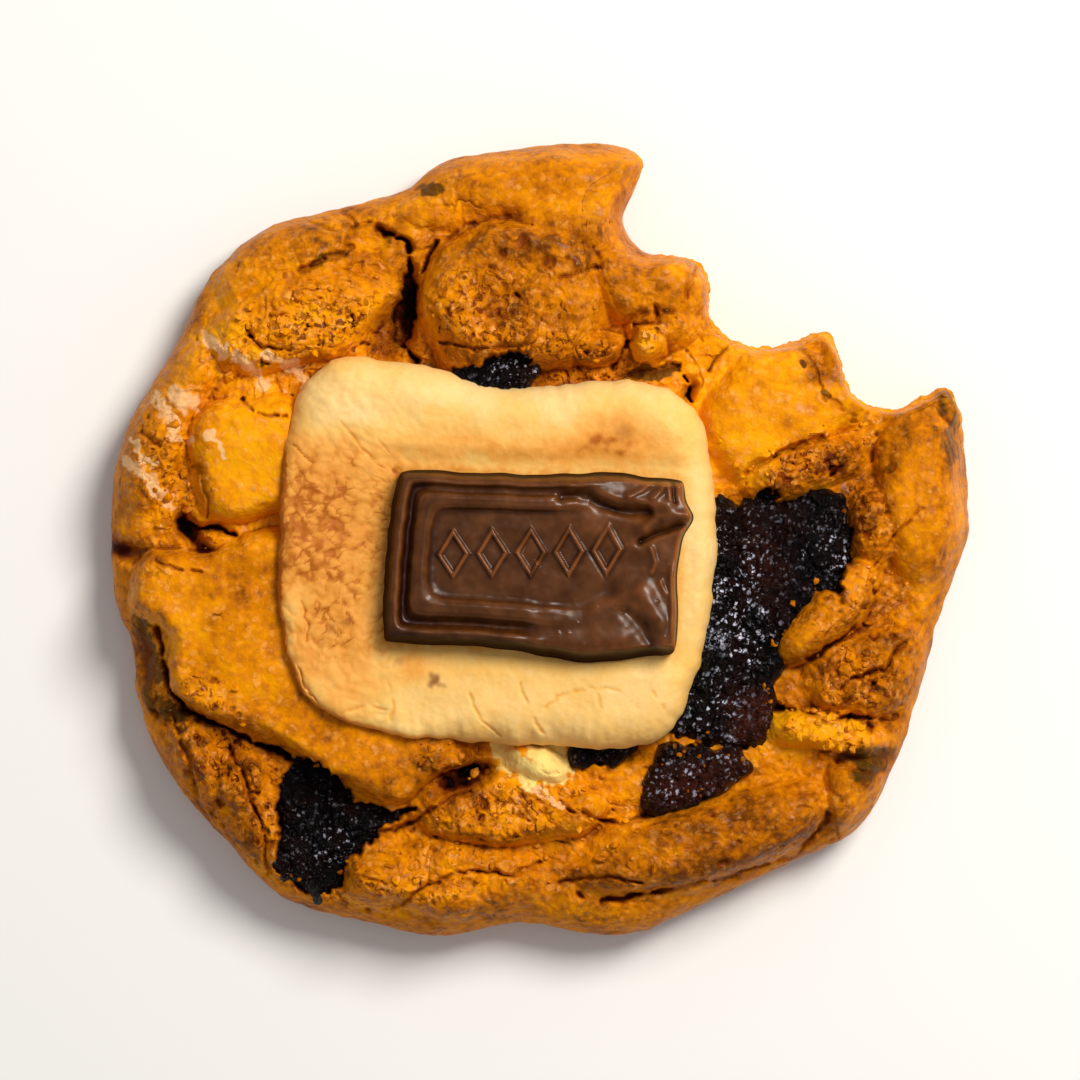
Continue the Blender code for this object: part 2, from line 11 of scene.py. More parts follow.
import bpy
import numpy as np
from bpy.props import FloatProperty, FloatVectorProperty, IntProperty, PointerProperty
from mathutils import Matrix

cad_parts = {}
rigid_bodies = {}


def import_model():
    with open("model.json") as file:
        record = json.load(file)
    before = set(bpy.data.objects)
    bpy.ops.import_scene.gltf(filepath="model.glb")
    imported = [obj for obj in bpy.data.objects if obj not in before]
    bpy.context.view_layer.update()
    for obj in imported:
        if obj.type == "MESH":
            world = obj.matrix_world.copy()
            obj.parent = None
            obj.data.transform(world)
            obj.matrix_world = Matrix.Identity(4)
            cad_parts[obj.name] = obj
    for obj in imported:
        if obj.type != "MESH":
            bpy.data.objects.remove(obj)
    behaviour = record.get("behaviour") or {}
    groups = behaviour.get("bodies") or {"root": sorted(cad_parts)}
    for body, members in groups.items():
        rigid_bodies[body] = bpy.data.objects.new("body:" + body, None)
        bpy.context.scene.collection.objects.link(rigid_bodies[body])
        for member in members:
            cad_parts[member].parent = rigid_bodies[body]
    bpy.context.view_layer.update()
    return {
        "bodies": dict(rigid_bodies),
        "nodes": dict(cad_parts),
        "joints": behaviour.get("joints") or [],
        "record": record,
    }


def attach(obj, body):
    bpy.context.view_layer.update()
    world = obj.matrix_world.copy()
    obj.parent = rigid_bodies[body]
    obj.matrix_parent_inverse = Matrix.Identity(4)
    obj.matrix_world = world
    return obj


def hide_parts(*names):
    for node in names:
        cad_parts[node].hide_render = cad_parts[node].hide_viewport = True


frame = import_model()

bl_info = {
    "name": "Bitten Smores Cookie",
    "version": (1, 0, 0),
    "blender": (4, 5, 0),
    "location": "View3D > Sidebar > Cookie",
    "description": "Builds a bitten cookie with a toasted marshmallow and chocolate on it",
    "category": "Mesh",
}

MM = 0.001

# The cookie's edge from above, anticlockwise from the right, with the bite at the upper right
COOKIE_EDGE = (
    (49.1, 0.0), (49.0, 8.1), (48.1, 15.2), (46.3, 17.7), (44.3, 16.4), (40.2, 15.0), (35.8, 16.8),
    (34.1, 21.6), (32.7, 23.9), (28.8, 22.7), (23.6, 22.3), (19.6, 25.5), (19.4, 29.7), (18.1, 31.9),
    (11.6, 33.4), (9.6, 36.8), (11.1, 40.7), (11.8, 43.7), (8.9, 45.3), (1.8, 45.5), (-5.3, 44.6),
    (-11.2, 43.4), (-15.8, 40.2), (-25.2, 37.7), (-31.6, 35.8), (-37.7, 30.5), (-42.0, 22.1), (-47.3, 13.3),
    (-49.1, 6.3), (-48.8, -6.6), (-46.9, -12.0), (-46.2, -18.6), (-42.5, -27.0), (-36.2, -34.4),
    (-29.4, -41.1), (-19.5, -44.0), (-11.4, -45.5), (-1.9, -44.0), (6.4, -45.4), (11.6, -45.0),
    (18.5, -42.0), (28.8, -37.0), (35.7, -33.8), (40.5, -26.6), (43.5, -17.8), (46.1, -8.3),
)
# The hollow that holds the marshmallow, a rounded square drawn out of true
RECESS_EDGE = (
    (19.2, 6.9), (17.2, 14.7), (11.5, 17.7), (-4.6, 17.3), (-14.4, 19.9), (-23.6, 20.1), (-27.6, 15.9),
    (-29.0, 4.6), (-28.9, -10.4), (-25.5, -18.1), (-17.3, -21.5), (0.0, -23.1), (12.9, -22.8),
    (16.6, -17.3), (19.1, -6.9),
)
# The milk chocolate's corners from above: front left, front right, back right, back left
CHOCOLATE_CORNERS = ((-17.8, -11.6), (15.4, -13.0), (16.5, 7.0), (-16.0, 8.2))

# Heights and roundings that the cookie shares with its solid. The crust is rounded over its widest
# line, and less so where the bite, a circle, has cut it. A bite's foot also runs in less.
WIDEST_Z = 4.2
CRUST_ROUND = 5.0
BITE_ROUND = 1.1
FOOT_INSET = 2.6
BITE_FOOT = 0.25
MOUTH_CENTRE = (44.0, 46.0)
MOUTH_RADIUS = 33.0
MOUTH_FADE = 2.0
RECESS_FLOOR = 6.3

# How lumps swell, and how they and the valleys between them run into one another
RING_SMOOTHING = 9.0
SUPERELLIPSE = 2.4
LIP_STEEPNESS = 2.4
VALLEY_BLEND = 0.6
DEEPEST_VALLEY = -2.6
PLAIN_ROUGHNESS = 0.6
FOLD_ROUGHNESS = 0.12

# The share of their depth that cracks and pits cut, how far dough lies under a chunk's top, and how
# sharply rough crust breaks into plates
CRACK_SHARE = 0.62
PIT_SHARE = 0.4
POCKET_DEPTH = 3.0
PLATE_STEP = 0.42

# Where rows stand up the hollow's wall, the flat rim round the underside, and how little a row that
# counts as level may rise
WALL_SHARES = (0, 0.35, 0.7)
RIM_WIDTH = 0.3
LEVEL = 1e-6

# Where two of the dough's pieces meet: how far one runs on below the other's skin, the height of
# its level end inside the body, and how far that end is evened out and drawn in
BAND_SINK = 0.12
BAND_CORE_Z = 2.0
BAND_PLATE = 1.0
BAND_EVENED = 3.0
BAND_INSET = 0.5

# The sides of the pieces that sit in the dough: how far down each row lies as a share, and for the
# chocolate how far out it stands. The marshmallow's foot is above its hollow's floor, and the
# chocolate's is sunk into the marshmallow.
MARSHMALLOW_SIDE = (0.15, 0.4, 0.7, 1.0)
MARSHMALLOW_TAPER = 0.3
MARSHMALLOW_LIFT = 0.3
CHOCOLATE_SIDE = ((0.35, 0.02), (0.7, 0.0), (1.0, -0.1))
CHOCOLATE_SINK = 0.25
CHUNK_SIDE = (0.5, 1.0)
SHOULDER_DROP = 3.2

# Waves that carry outlines out of true, as how high and how broad the swellings of each size are
EDGE_WAVES = ((1.5, 7.0), (0.3, 3.0), (0.28, 1.3))
CRACK_WAVES = ((0.5, 2.2), (0.25, 0.9))
PIT_WAVES = ((0.7, 0.8),)
POCKET_WAVES = ((1.1, 1.8), (0.6, 0.8))
BROWNING_WAVES = ((1.6, 5.0), (0.8, 2.0))
SMEAR_WAVES = ((0.9, 1.8), (0.7, 0.8))
TOASTING_WAVES = ((2.4, 5.0),)
COBBLE_WAVES = ((0.7, 1.6), (0.3, 0.7))
SKIN_CRACK_WAVES = ((0.3, 1.4), (0.15, 0.6))
CHUNK_WAVES = ((1.4, 2.4), (0.8, 1.1))
STAIN_AND_SHADE_WAVES = ((0.35, 1.2), (0.25, 0.5))
PUFFED_EDGE_WAVES = ((0.4, 4.4), (0.3, 1.5))
MELTED_EDGE_WAVES = ((0.7, 1.7), (0.5, 0.7))

# Waves that lift a surface, in the same way: the dough, the marshmallow, and the dark chocolate
CRAGS = ((1.1, 6.0), (0.5, 3.4))
PLATE_WAVES = ((3.0, 4.4), (0.9, 1.7), (0.35, 0.8))
PUFF_WAVES = ((0.5, 12.0), (0.25, 5.0))
SKIN_WAVES = ((0.12, 2.6), (0.04, 1.2))
FINE_SKIN_WAVES = ((0.03, 1.1), (0.015, 0.6))
CHUNK_CRAGS = ((0.9, 4.2), (0.8, 2.0))

# How unevenly the marshmallow's skin is toasted, in the same way
TOAST_SPECKS = ((0.16, 3.0), (0.2, 1.2))

# What the points of the dough and of the dark chocolate carry for their materials, from 0 to 1
DOUGH_ATTRIBUTES = ("baked", "hollow", "smear", "stain_and_shade", "open_crumb", "ooze", "upper")
CHUNK_ATTRIBUTES = ("crumbly", "whitened", "sparkling")

# The studio: half the floor's width in millimetres, its white, the light in metres, the camera's
# sensor, and the height that it frames, both in millimetres
FLOOR_HALF = 900.0
PAPER_WHITE = 0.9
LIGHT_PLACE = (0.25, 0.26, 0.49)
LIGHT_WIDTH = 0.26
LIGHT_COLOUR = (1.0, 0.95, 0.86)
SENSOR_WIDTH = 36.0
FRAMED_HEIGHT = 5.0

# A swelling of the dough: its middle, half its length and width, its turn in degrees, how far it
# stands above the dough, how wide its rounded lip is, and how rough its crust is
Lump = namedtuple("Lump", "x y half_length half_width turn rise lip rough")
LUMPS = (
    Lump(-29.3, 31.3, 9.5, 5.2, 22, 2.6, 3.0, 0.5),
    Lump(-27.6, 24.8, 12.0, 5.4, 16, 4.2, 3.4, 0.7),
    Lump(-0.6, 41.2, 13.0, 4.8, 5, 3.0, 3.6, 0.2),
    Lump(-11.5, 39.0, 5.0, 4.2, 0, 1.8, 2.8, 0.6),
    Lump(-3.0, 27.5, 11.4, 9.3, 8, 6.3, 3.8, 0.8),
    Lump(13.4, 28.8, 6.4, 4.4, -18, 4.2, 3.0, 0.3),
    Lump(13.8, 24.2, 4.8, 3.0, 4, 4.6, 2.8, 0.5),
    Lump(26.2, 14.4, 9.0, 7.4, 28, 3.6, 3.6, 0.1),
    Lump(34.2, 17.6, 4.4, 5.4, -10, 3.0, 2.8, 0.2),
    Lump(43.4, 4.8, 5.6, 11.6, 4, 4.0, 3.6, 0.1),
    Lump(30.2, 8.2, 8.2, 3.2, 18, 4.4, 2.4, 1.0),
    Lump(37.8, 1.2, 2.8, 6.2, 6, 3.8, 2.4, 0.9),
    Lump(32.8, -8.4, 8.6, 3.2, 44, 5.0, 2.4, 0.5),
    Lump(37.8, -15.0, 8.0, 5.6, 22, 3.0, 2.8, 0.9),
    Lump(32.4, -22.0, 7.6, 2.5, -6, 3.6, 1.6, 0.5),
    Lump(18.6, -34.2, 16.4, 5.2, 15, 4.6, 3.0, 0.5),
    Lump(36.4, -29.2, 5.0, 4.8, 0, 3.4, 2.8, 0.4),
    Lump(-4.4, -30.4, 11.4, 4.8, 2, 3.6, 2.8, 1.0),
    Lump(-10.4, -38.8, 12.8, 4.6, -4, 2.8, 2.8, 0.9),
    Lump(-32.4, 9.2, 8.2, 7.4, 0, 4.3, 3.0, 0.1),
    Lump(-43.2, 12.6, 11.6, 4.4, 66, 2.8, 2.8, 0.8),
    Lump(-36.4, -30.6, 10.8, 6.0, -48, 1.8, 2.8, 1.0),
    Lump(12.1, 22.4, 2.8, 2.6, 0, 5.4, 1.8, 0.5),
    Lump(6.0, 22.0, 4.0, 2.4, -10, 4.6, 1.8, 0.8),
    Lump(-10.8, -24.6, 3.6, 1.9, 16, 3.8, 1.2, 0.9),
    Lump(3.4, -31.0, 4.6, 2.8, 10, 4.6, 2.2, 0.6),
    Lump(-0.4, -25.6, 4.2, 2.6, -6, 4.6, 2.4, 0.4),
    Lump(-18.0, -38.4, 4.8, 3.4, 20, 3.8, 2.4, 0.8),
    Lump(-40.0, -24.6, 3.2, 4.4, 10, 2.6, 2.0, 1.0),
    Lump(-34.2, -27.4, 3.0, 3.8, -20, 2.6, 1.8, 1.0),
    Lump(34.6, -17.6, 3.4, 2.4, 30, 3.9, 1.6, 0.9),
    Lump(4.6, 35.6, 8.6, 5.4, 8, 4.6, 4.6, 0.3),
    Lump(9.4, 29.6, 4.6, 5.4, 0, 4.9, 3.6, 0.5),
)

# The smooth fold of dough on the left, which stands over the rough dough below it
FOLD_EDGE = (
    (-25.0, 1.0), (-25.0, -10.0), (-22.0, -15.6), (-15.0, -18.6), (-8.5, -20.6), (-10.0, -26.2),
    (-16.2, -30.2), (-22.4, -28.0), (-29.0, -24.2), (-38.0, -20.4), (-42.4, -16.0), (-43.0, -11.0),
    (-47.0, -7.0), (-46.0, -2.0), (-38.0, -0.6),
)
FOLD_RISE = 4.4
FOLD_LIP = 2.2

# A crack: how wide and how deep it is, and the points that it runs through
Crack = namedtuple("Crack", "width depth points")
CRACKS = (
    Crack(1.1, 1.6, ((-27.5, 30.5), (-26.2, 31.1), (-22.8, 32.5), (-21.7, 33.1))),
    Crack(0.9, 1.4, ((-22.8, 37.8), (-21.2, 36.2), (-21.9, 33.7))),
    Crack(1.2, 3.2, ((-18.3, 35.4), (-15, 34), (-14.7, 30.9), (-15.6, 27.6), (-15.6, 22.4), (-14.3, 20.7))),
    Crack(0.7, 2.0, ((-12, 34), (-12.6, 32.4), (-13.5, 30.5))),
    Crack(0.5, 0.8, ((-14.3, 32), (-11.4, 34.5), (-7.6, 36.2))),
    Crack(0.6, 0.9, ((2.0, 29.6), (5.2, 30.4), (6.8, 31.0))),
    Crack(0.7, 1.5, ((13.2, 26.4), (13.2, 24.8), (10.8, 24.6), (10.4, 22.8), (8.9, 20.9), (8.2, 19.7))),
    Crack(0.8, 1.6, ((10.4, 19), (12.9, 19.3), (15.9, 20))),
    Crack(0.5, 2.5, ((16.6, 18.6), (17.1, 17), (17.3, 15.9))),
    Crack(0.5, 1.4, ((22.1, 22.8), (19.7, 20.4), (19.1, 19.3))),
    Crack(0.5, 1.0, ((18.5, 32), (17.3, 29.9), (16.6, 27.6))),
    Crack(0.5, 0.7, ((30, 21.6), (31.3, 19.8), (32.5, 16.2), (34.3, 15))),
    Crack(0.7, 1.8, ((23.1, 7.6), (24.2, 8.5), (27.1, 9.7), (29.7, 11), (32.1, 11.8))),
    Crack(0.5, 0.8, ((43.2, 3.7), (42, 2.2), (39.2, -0.8), (38, -3.1), (37.1, -4.6))),
    Crack(0.4, 0.7, ((39.2, 12.7), (38, 10.9), (37.8, 9))),
    Crack(0.8, 1.4, ((28.1, -14.4), (29.0, -14.1), (31.0, -13.4), (33.9, -11.7), (35.8, -9.9))),
    Crack(0.8, 1.8, ((41.5, -11.5), (39.2, -14.7), (35.9, -15.6), (34, -17.2))),
    Crack(0.8, 1.8, (
        (26.4, -18.9), (29.6, -19.4), (32.6, -20.4), (35.4, -20.0), (38.6, -20.6), (40.8, -20.2),
    )),
    Crack(0.8, 1.4, ((34, -25.3), (36.9, -26.7), (40.3, -26.5))),
    Crack(1.0, 2.0, (
        (32.9, -31.2), (31.9, -33.4), (29.3, -36.1), (26.9, -37.1), (21.8, -38.2), (13.9, -40), (7, -41.4),
    )),
    Crack(0.6, 1.6, ((33.3, -32.1), (34.1, -33.4), (34.4, -34.3))),
    Crack(0.8, 1.6, ((12.7, -31.3), (9.3, -32.4), (5.8, -31.7), (2.4, -29.9))),
    Crack(0.7, 1.4, ((2.4, -39.1), (7, -38.2), (11.6, -38.9))),
    Crack(0.8, 1.8, ((-21.6, -34.5), (-18.3, -33.4), (-14.9, -32.4), (-11.4, -29.9), (-8, -28.5))),
    Crack(0.7, 1.4, ((-16.6, -42), (-12.6, -39.1), (-8, -37.7), (-3.4, -38.2), (0.1, -36.8))),
    Crack(0.8, 2.6, (
        (-43.6, -10.1), (-43.1, -13.9), (-42, -17.1), (-40.9, -19.2), (-37.3, -20.8), (-32.4, -23.1),
    )),
    Crack(1.2, 4.0, (
        (-32.4, -23.1), (-27.4, -25.1), (-23.2, -27.5), (-21.4, -30), (-17.5, -31.4), (-14.4, -30.6),
    )),
    Crack(0.6, 2.2, ((-39.4, 1.5), (-37.3, 1.4), (-34.6, 0.8))),
    Crack(0.6, 1.2, ((-34.2, 16), (-33.4, 15.2), (-32.7, 14.7))),
    Crack(0.6, 1.2, ((-32.1, 14.5), (-30.4, 14.1), (-28.8, 13.9))),
    Crack(0.7, 1.4, ((-45.4, 12.2), (-44.2, 11.3), (-43, 10.6))),
    Crack(0.5, 1.0, ((-43.6, -2.3), (-41.1, -3.7), (-38.5, -3.5))),
    Crack(0.5, 1.1, ((-38.5, 6.9), (-37.7, 4.6), (-38.1, 2.6))),
    Crack(0.8, 1.8, ((-41.9, -20.1), (-40.2, -24.2), (-39, -29.9), (-37.3, -33.4))),
    Crack(0.7, 1.6, ((-35.6, -23.6), (-33.5, -27.6), (-31.9, -32.2), (-31, -38))),
    Crack(0.6, 1.2, ((-27.5, 37.4), (-24.1, 35.4), (-19.3, 36.2))),
    Crack(0.7, 1.4, ((-33.3, 24.2), (-31.9, 21.9), (-28.5, 21.6))),
    Crack(0.6, 1.4, ((-11.4, 22.4), (-6.8, 21.6), (-2.2, 21.9))),
)

# A deep hole between two folds: its middle, its half length and width, its turn and its depth
Hole = namedtuple("Hole", "x y half_length half_width turn depth")
HOLES = (
    Hole(-15.2, 26.2, 4.0, 1.1, 84, 5.0), Hole(-17.4, 23.6, 3.6, 2.2, 70, 2.0),
    Hole(-48.2, -1.0, 3.0, 1.2, -12, 3.5), Hole(-40.3, 1.4, 1.9, 0.95, -62, 4.6),
    Hole(-38.6, -0.9, 1.5, 1.0, -50, 2.2), Hole(-37.6, 1.3, 1.6, 0.55, -4, 3.0),
    Hole(-8.8, -27.2, 3.2, 1.4, 24, 4.0), Hole(40.2, -25.0, 1.9, 0.8, -20, 1.8),
    Hole(-45.2, -13.6, 1.3, 3.6, 12, 1.6), Hole(17.0, 16.9, 1.2, 0.6, 60, 3.4),
    Hole(7.0, -24.4, 3.6, 0.9, 0, 3.4),
)

# A pit in the crust: its middle, its radius and its depth
PITS = (
    (5, 21.3, 0.6, 1.6), (4.1, 20.1, 0.5, 1.2), (-31.2, 20.2, 0.6, 1.6), (-32.9, 23.3, 0.5, 1.2),
    (-41.1, 10.7, 0.5, 1), (-38.7, 7.9, 0.8, 1), (-37.3, 16.6, 0.5, 1), (37.8, -4.9, 0.5, 1.4),
    (38.1, -5.8, 0.5, 1.4), (36.6, -7.6, 0.6, 1.4), (36.3, -8.6, 0.4, 1.2), (36.9, -9.5, 0.4, 1.2),
    (38, -11.2, 0.6, 1.4), (37.8, -16.4, 0.6, 1.6), (34.7, -18.2, 0.5, 1.2), (35.2, -20.1, 0.5, 1.4),
    (32.4, -20.8, 0.5, 1.4), (37.7, -21.5, 0.6, 1.4), (35.8, 13.7, 0.7, 0.9), (27.3, -19.3, 0.8, 3.4),
    (29.8, 20, 0.6, 0.8), (32.5, 16.2, 0.5, 0.8), (40, 8.1, 1, 0.9), (33.6, 8.1, 1.2, 2.2),
    (-6.8, 27.6, 0.5, 1), (-4.5, 25.5, 0.4, 0.8), (-9.7, 25.1, 0.5, 1.2), (-2.2, 24.2, 0.4, 0.8),
    (-11.4, 27.6, 0.4, 1), (2.4, 25.5, 0.4, 0.8), (-8, 23, 0.5, 1.2), (-24.1, 26.2, 0.5, 1.2),
    (-21.6, 25.1, 0.5, 1.4), (-26.4, 24.2, 0.4, 1), (-29.3, 25.5, 0.4, 0.8), (-20.1, 22.4, 0.5, 1.2),
    (-34.4, -23, 0.6, 1.6), (-39, -22.4, 0.6, 1.4), (-36.5, -29.9, 0.7, 1.8), (-32.4, -28.8, 0.6, 1.6),
    (-40.2, -26.5, 0.6, 1.4), (-35.6, -26.5, 0.5, 1.2),
)

# A mass of dark chocolate: the nodes it stands for, the height of its top, and its edge, clockwise
Mass = namedtuple("Mass", "nodes top edge")
MASSES = (
    Mass(("chunk_right", "chunk_right_back", "chunk_right_front"), 12.2, (
        (17.6, 4.0), (21.0, 4.0), (23.0, 3.2), (23.9, 4.9), (26.5, 5.4), (28.0, 3.6), (29.0, 4.7),
        (31.7, 5.1), (34.3, 4.3), (34.9, 1.2), (34.6, -2.9), (34.3, -5.6), (30.2, -5.9), (29.4, -7.8),
        (27.4, -10.4), (26.3, -12.7), (26.7, -14.7), (25.8, -17.5), (26.0, -19.3), (24.9, -21.2),
        (24.3, -23.2), (21.0, -23.2), (18.5, -22.4), (14.8, -21.6), (14.6, -18.6), (16.8, -12.6),
        (17.6, -6.0), (17.6, 0.0),
    )),
    Mass(("chunk_front",), 12.6, (
        (14.1, -25.5), (14.3, -23.9), (18.5, -24.4), (23.9, -25.5), (21.0, -27.5), (17.3, -29.1),
        (14.4, -30.6), (12.7, -30.6), (12.0, -28.5), (12.7, -26.7),
    )),
    Mass(("chunk_front_left",), 9.6, (
        (-29.4, -26.8), (-27.5, -25.3), (-25.2, -25.6), (-22.4, -27.6), (-21.8, -29.9), (-16.6, -31.3),
        (-17.8, -32.4), (-19.7, -34.3), (-22.4, -37.0), (-22.9, -39.2), (-25.4, -40.2), (-27.8, -39.0),
        (-29.8, -37.4), (-29.7, -34.5), (-29.5, -29.9),
    )),
    Mass(("chunk_back",), 13.6, (
        (-5.9, 20.5), (-4.5, 20.9), (-1.3, 20.9), (-1.4, 19.3), (-2.0, 17.0), (-4.0, 16.8),
        (-8.6, 16.8), (-10.1, 18.2), (-8.9, 19.3), (-6.3, 19.6),
    )),
    Mass(("chunk_middle_front",), 11.4, (
        (4.2, -23.0), (6.4, -22.6), (9.9, -22.6), (10.4, -23.9), (9.2, -24.9), (7.0, -25.3), (4.7, -25.1),
        (4.0, -24.2),
    )),
)

# How far the crust is baked, from 0 for pale yellow dough to 1 for dark brown, by oval areas
Zone = namedtuple("Zone", "x y half_length half_width turn value")
BAKED_ZONES = (
    Zone(-27.5, 32, 12.1, 5.2, 20, 0.55), Zone(-35, 27.6, 5.2, 4, 30, 0.45),
    Zone(-24.1, 24.2, 8.1, 3.7, 10, 0.42), Zone(-35.6, 21.6, 5.8, 3, 0, 0.40),
    Zone(0.1, 41.4, 12.1, 3.5, 5, 0.30), Zone(-10.5, 39.7, 3.2, 3.5, 0, 0.56),
    Zone(0.1, 32, 8.1, 3.9, 5, 0.68), Zone(-10.5, 27.6, 3.7, 5.2, 0, 0.68),
    Zone(7.5, 27.6, 3.7, 5.2, 0, 0.55), Zone(1.8, 22.4, 8.1, 2.5, 0, 0.68),
    Zone(13.3, 28.8, 4.6, 4.6, 0, 0.45), Zone(7.5, 35.1, 2.9, 3.5, 0, 0.38),
    Zone(12.1, 22.4, 2.5, 2.3, 0, 0.64), Zone(25.9, 14.7, 7.6, 6, 0, 0.06),
    Zone(22.8, 9.4, 3.9, 2.5, 0, 0.10), Zone(32.5, 19.3, 2.8, 3.5, 0, 0.52),
    Zone(42.6, 4.6, 4.8, 9.8, 0, 0.54), Zone(42.8, 13.6, 3.9, 3.5, 0, 0.50),
    Zone(30, 8.5, 7.1, 2.1, 18, 0.84), Zone(36.4, 4, 2.5, 3.5, 0, 0.95),
    Zone(33.2, -8.2, 6.3, 2.6, 44, 0.42), Zone(38.2, -12.7, 4.4, 5.5, 0, 0.72),
    Zone(32, -17.0, 4.1, 2.4, 0, 0.74), Zone(31, -22.1, 6.0, 1.9, -6, 0.06),
    Zone(36.7, -22.6, 3, 1.4, -15, 0.12), Zone(20.8, -33.6, 9.9, 3, 12, 0.80),
    Zone(9.5, -37, 5.8, 2.5, 0, 0.72), Zone(34.7, -28.6, 2.8, 3, 0, 0.66),
    Zone(4.7, -30.1, 6.4, 3, 0, 0.38), Zone(7, -35.1, 5.1, 2.1, 0, 0.60),
    Zone(-13.7, -38.2, 8.1, 3.7, 0, 0.50), Zone(-6.4, -42, 5.8, 2.1, 0, 0.72),
    Zone(-37.7, -26.5, 5.3, 5.8, 0, 0.70), Zone(-35.4, -11.5, 6.4, 5.3, 0, 0.34),
    Zone(-23.5, -20.9, 6, 2.8, -20, 0.50), Zone(-37, -5.5, 6.4, 2.5, 0, 0.42),
    Zone(-33.3, 9.8, 3.9, 8.1, 0, 0.06), Zone(-44.8, 4.6, 3.7, 4.6, 0, 0.48),
    Zone(-41.3, 16.1, 4.4, 3.5, 0, 0.42), Zone(-10.9, -23.9, 3, 1.6, 0, 0.72),
    Zone(-0.5, -25.9, 3.9, 2.3, 0, 0.15), Zone(-37.3, 11.5, 3, 2.5, 0, 0.32),
    Zone(-24.1, 18.4, 3.5, 1.6, 0, 0.50), Zone(-18.3, 38.5, 4.6, 2.5, -15, 0.50),
)

# Where the crust is browner than that, or paler where the value is below zero. Areas that lie over
# each other add up, so that a border fades in steps.
BROWNED_ZONES = (
    Zone(-41, -8, 3.6, 5, 0, -0.12), Zone(-37.9, -26.5, 4.6, 4.6, 0, -0.08),
    Zone(-36.7, -5.8, 5.8, 2.3, 0, 0.1), Zone(-35.6, 21.9, 5.8, 3, 0, -0.3),
    Zone(-35, 27.6, 4.6, 3.5, 0, -0.22), Zone(-34.4, -35, 3.5, 3, 0, 0.18), Zone(-34, -9, 9, 6, 0, 0.1),
    Zone(-24.1, -20.7, 5, 2.4, -20, -0.1), Zone(-24, -20.5, 6, 3, -20, 0.2),
    Zone(-24.1, 24.2, 7, 3, 10, -0.2), Zone(-24.1, 24.2, 8, 3.4, 10, -0.08),
    Zone(-13, -27, 8, 2.6, -20, 0.18), Zone(-10.3, 27.6, 3.5, 4.6, 0, -0.14),
    Zone(-10.3, 27.6, 4, 5, 0, -0.12), Zone(-6.8, -41.4, 4.6, 2.3, 0, -0.14), Zone(0, 32.2, 6, 3, 0, 0.08),
    Zone(0, 33, 9, 6, 0, 0.06), Zone(0, 41.4, 11, 3, 5, 0.25), Zone(2.4, 23, 7, 2.6, 0, -0.1),
    Zone(7, -34.5, 4.6, 2.3, 0, -0.2), Zone(7, 34.5, 2.8, 3.5, 0, 0.28),
    Zone(12.1, 22.4, 2.5, 2.3, 0, -0.25), Zone(12.1, 22.4, 2.6, 2.4, 0, -0.15),
    Zone(12.1, 22.4, 2.8, 2.4, 0, -0.14), Zone(12.7, 28.8, 4.2, 4.2, 0, 0.18),
    Zone(20.8, -33.6, 10, 3.4, 14, 0.05), Zone(23, 9.4, 4, 2.4, 0, -0.25), Zone(23, 9.6, 4, 2.6, 0, -0.5),
    Zone(23.1, 9.6, 4.4, 3, 0, -0.35), Zone(23.1, 9.8, 3.8, 2.3, 0, -0.2),
    Zone(25.9, 13.8, 7, 5.2, 0, 0.14), Zone(25.9, 13.8, 8, 6, 0, 0.1), Zone(30.2, -21.8, 5.4, 2, -6, -0.5),
    Zone(30.2, -21.8, 5.6, 2.2, -6, -0.35), Zone(31, -22.2, 6, 2, -6, -0.34), Zone(30, 8, 5, 2, 18, -0.08),
    Zone(32.3, -17.2, 3.8, 2.6, 0, -0.22), Zone(31.7, 19.6, 2.6, 2.6, 0, 0.34),
    Zone(31.7, 19.6, 2.8, 2.8, 0, 0.22), Zone(33.4, -8, 4, 2.3, 44, 0.2), Zone(34.7, -28.6, 3, 3, 0, -0.08),
    Zone(38, -25.3, 3, 1.8, 0, 0.35), Zone(38.2, -25.4, 3, 2.4, 0, 0.35), Zone(43.2, 13.8, 3, 3.5, 0, 0.22),
    Zone(47.2, 11.5, 2, 5, 0, 0.2),
)

# Where the crust is pocked with small pores, by oval areas
POROUS_ZONES = (
    Zone(-22, 23.5, 12, 5, 10, 0.9), Zone(-34, 21, 7, 4, 0, 0.6), Zone(-7, 25.5, 8.5, 5.5, 0, 0.85),
    Zone(4, 21.5, 6, 2.5, 0, 0.9), Zone(13.5, 22.5, 4, 3, 0, 0.7), Zone(31, 8.5, 7, 3, 18, 1.0),
    Zone(36.8, 3.5, 3, 4.5, 0, 1.0), Zone(38.2, -8, 4, 5, 0, 0.5), Zone(37, -17, 6, 4, 0, 0.9),
    Zone(33.4, -19.2, 5, 2.4, 0, 0.9), Zone(-2, -30, 9, 3.5, 0, 0.7), Zone(-9, -33, 7, 4, 0, 0.6),
    Zone(14, -31, 6, 2.6, 0, 0.5), Zone(-13.7, -40, 8, 3, 0, 0.5), Zone(-36, -25.5, 7, 6, -30, 1.0),
    Zone(-31, -33, 4, 4, 0, 0.9), Zone(-43.5, 9, 4.5, 8, 20, 0.7), Zone(-44, -2, 3, 3, 0, 0.5),
    Zone(-27, 33, 10, 3.5, 20, 0.3), Zone(1, 33, 8, 4, 5, 0.35), Zone(31, -22, 6, 2.2, -6, 0.3),
    Zone(5, 19, 9, 2.4, 0, 0.9), Zone(-40, -20, 5, 5, 0, 0.9), Zone(-28, -37, 7, 4, -30, 0.8),
    Zone(34.7, -10, 5, 4, 40, 0.5), Zone(20, -36, 14, 4, 15, 0.3), Zone(-20, -40, 7, 3, 0, 0.8),
)
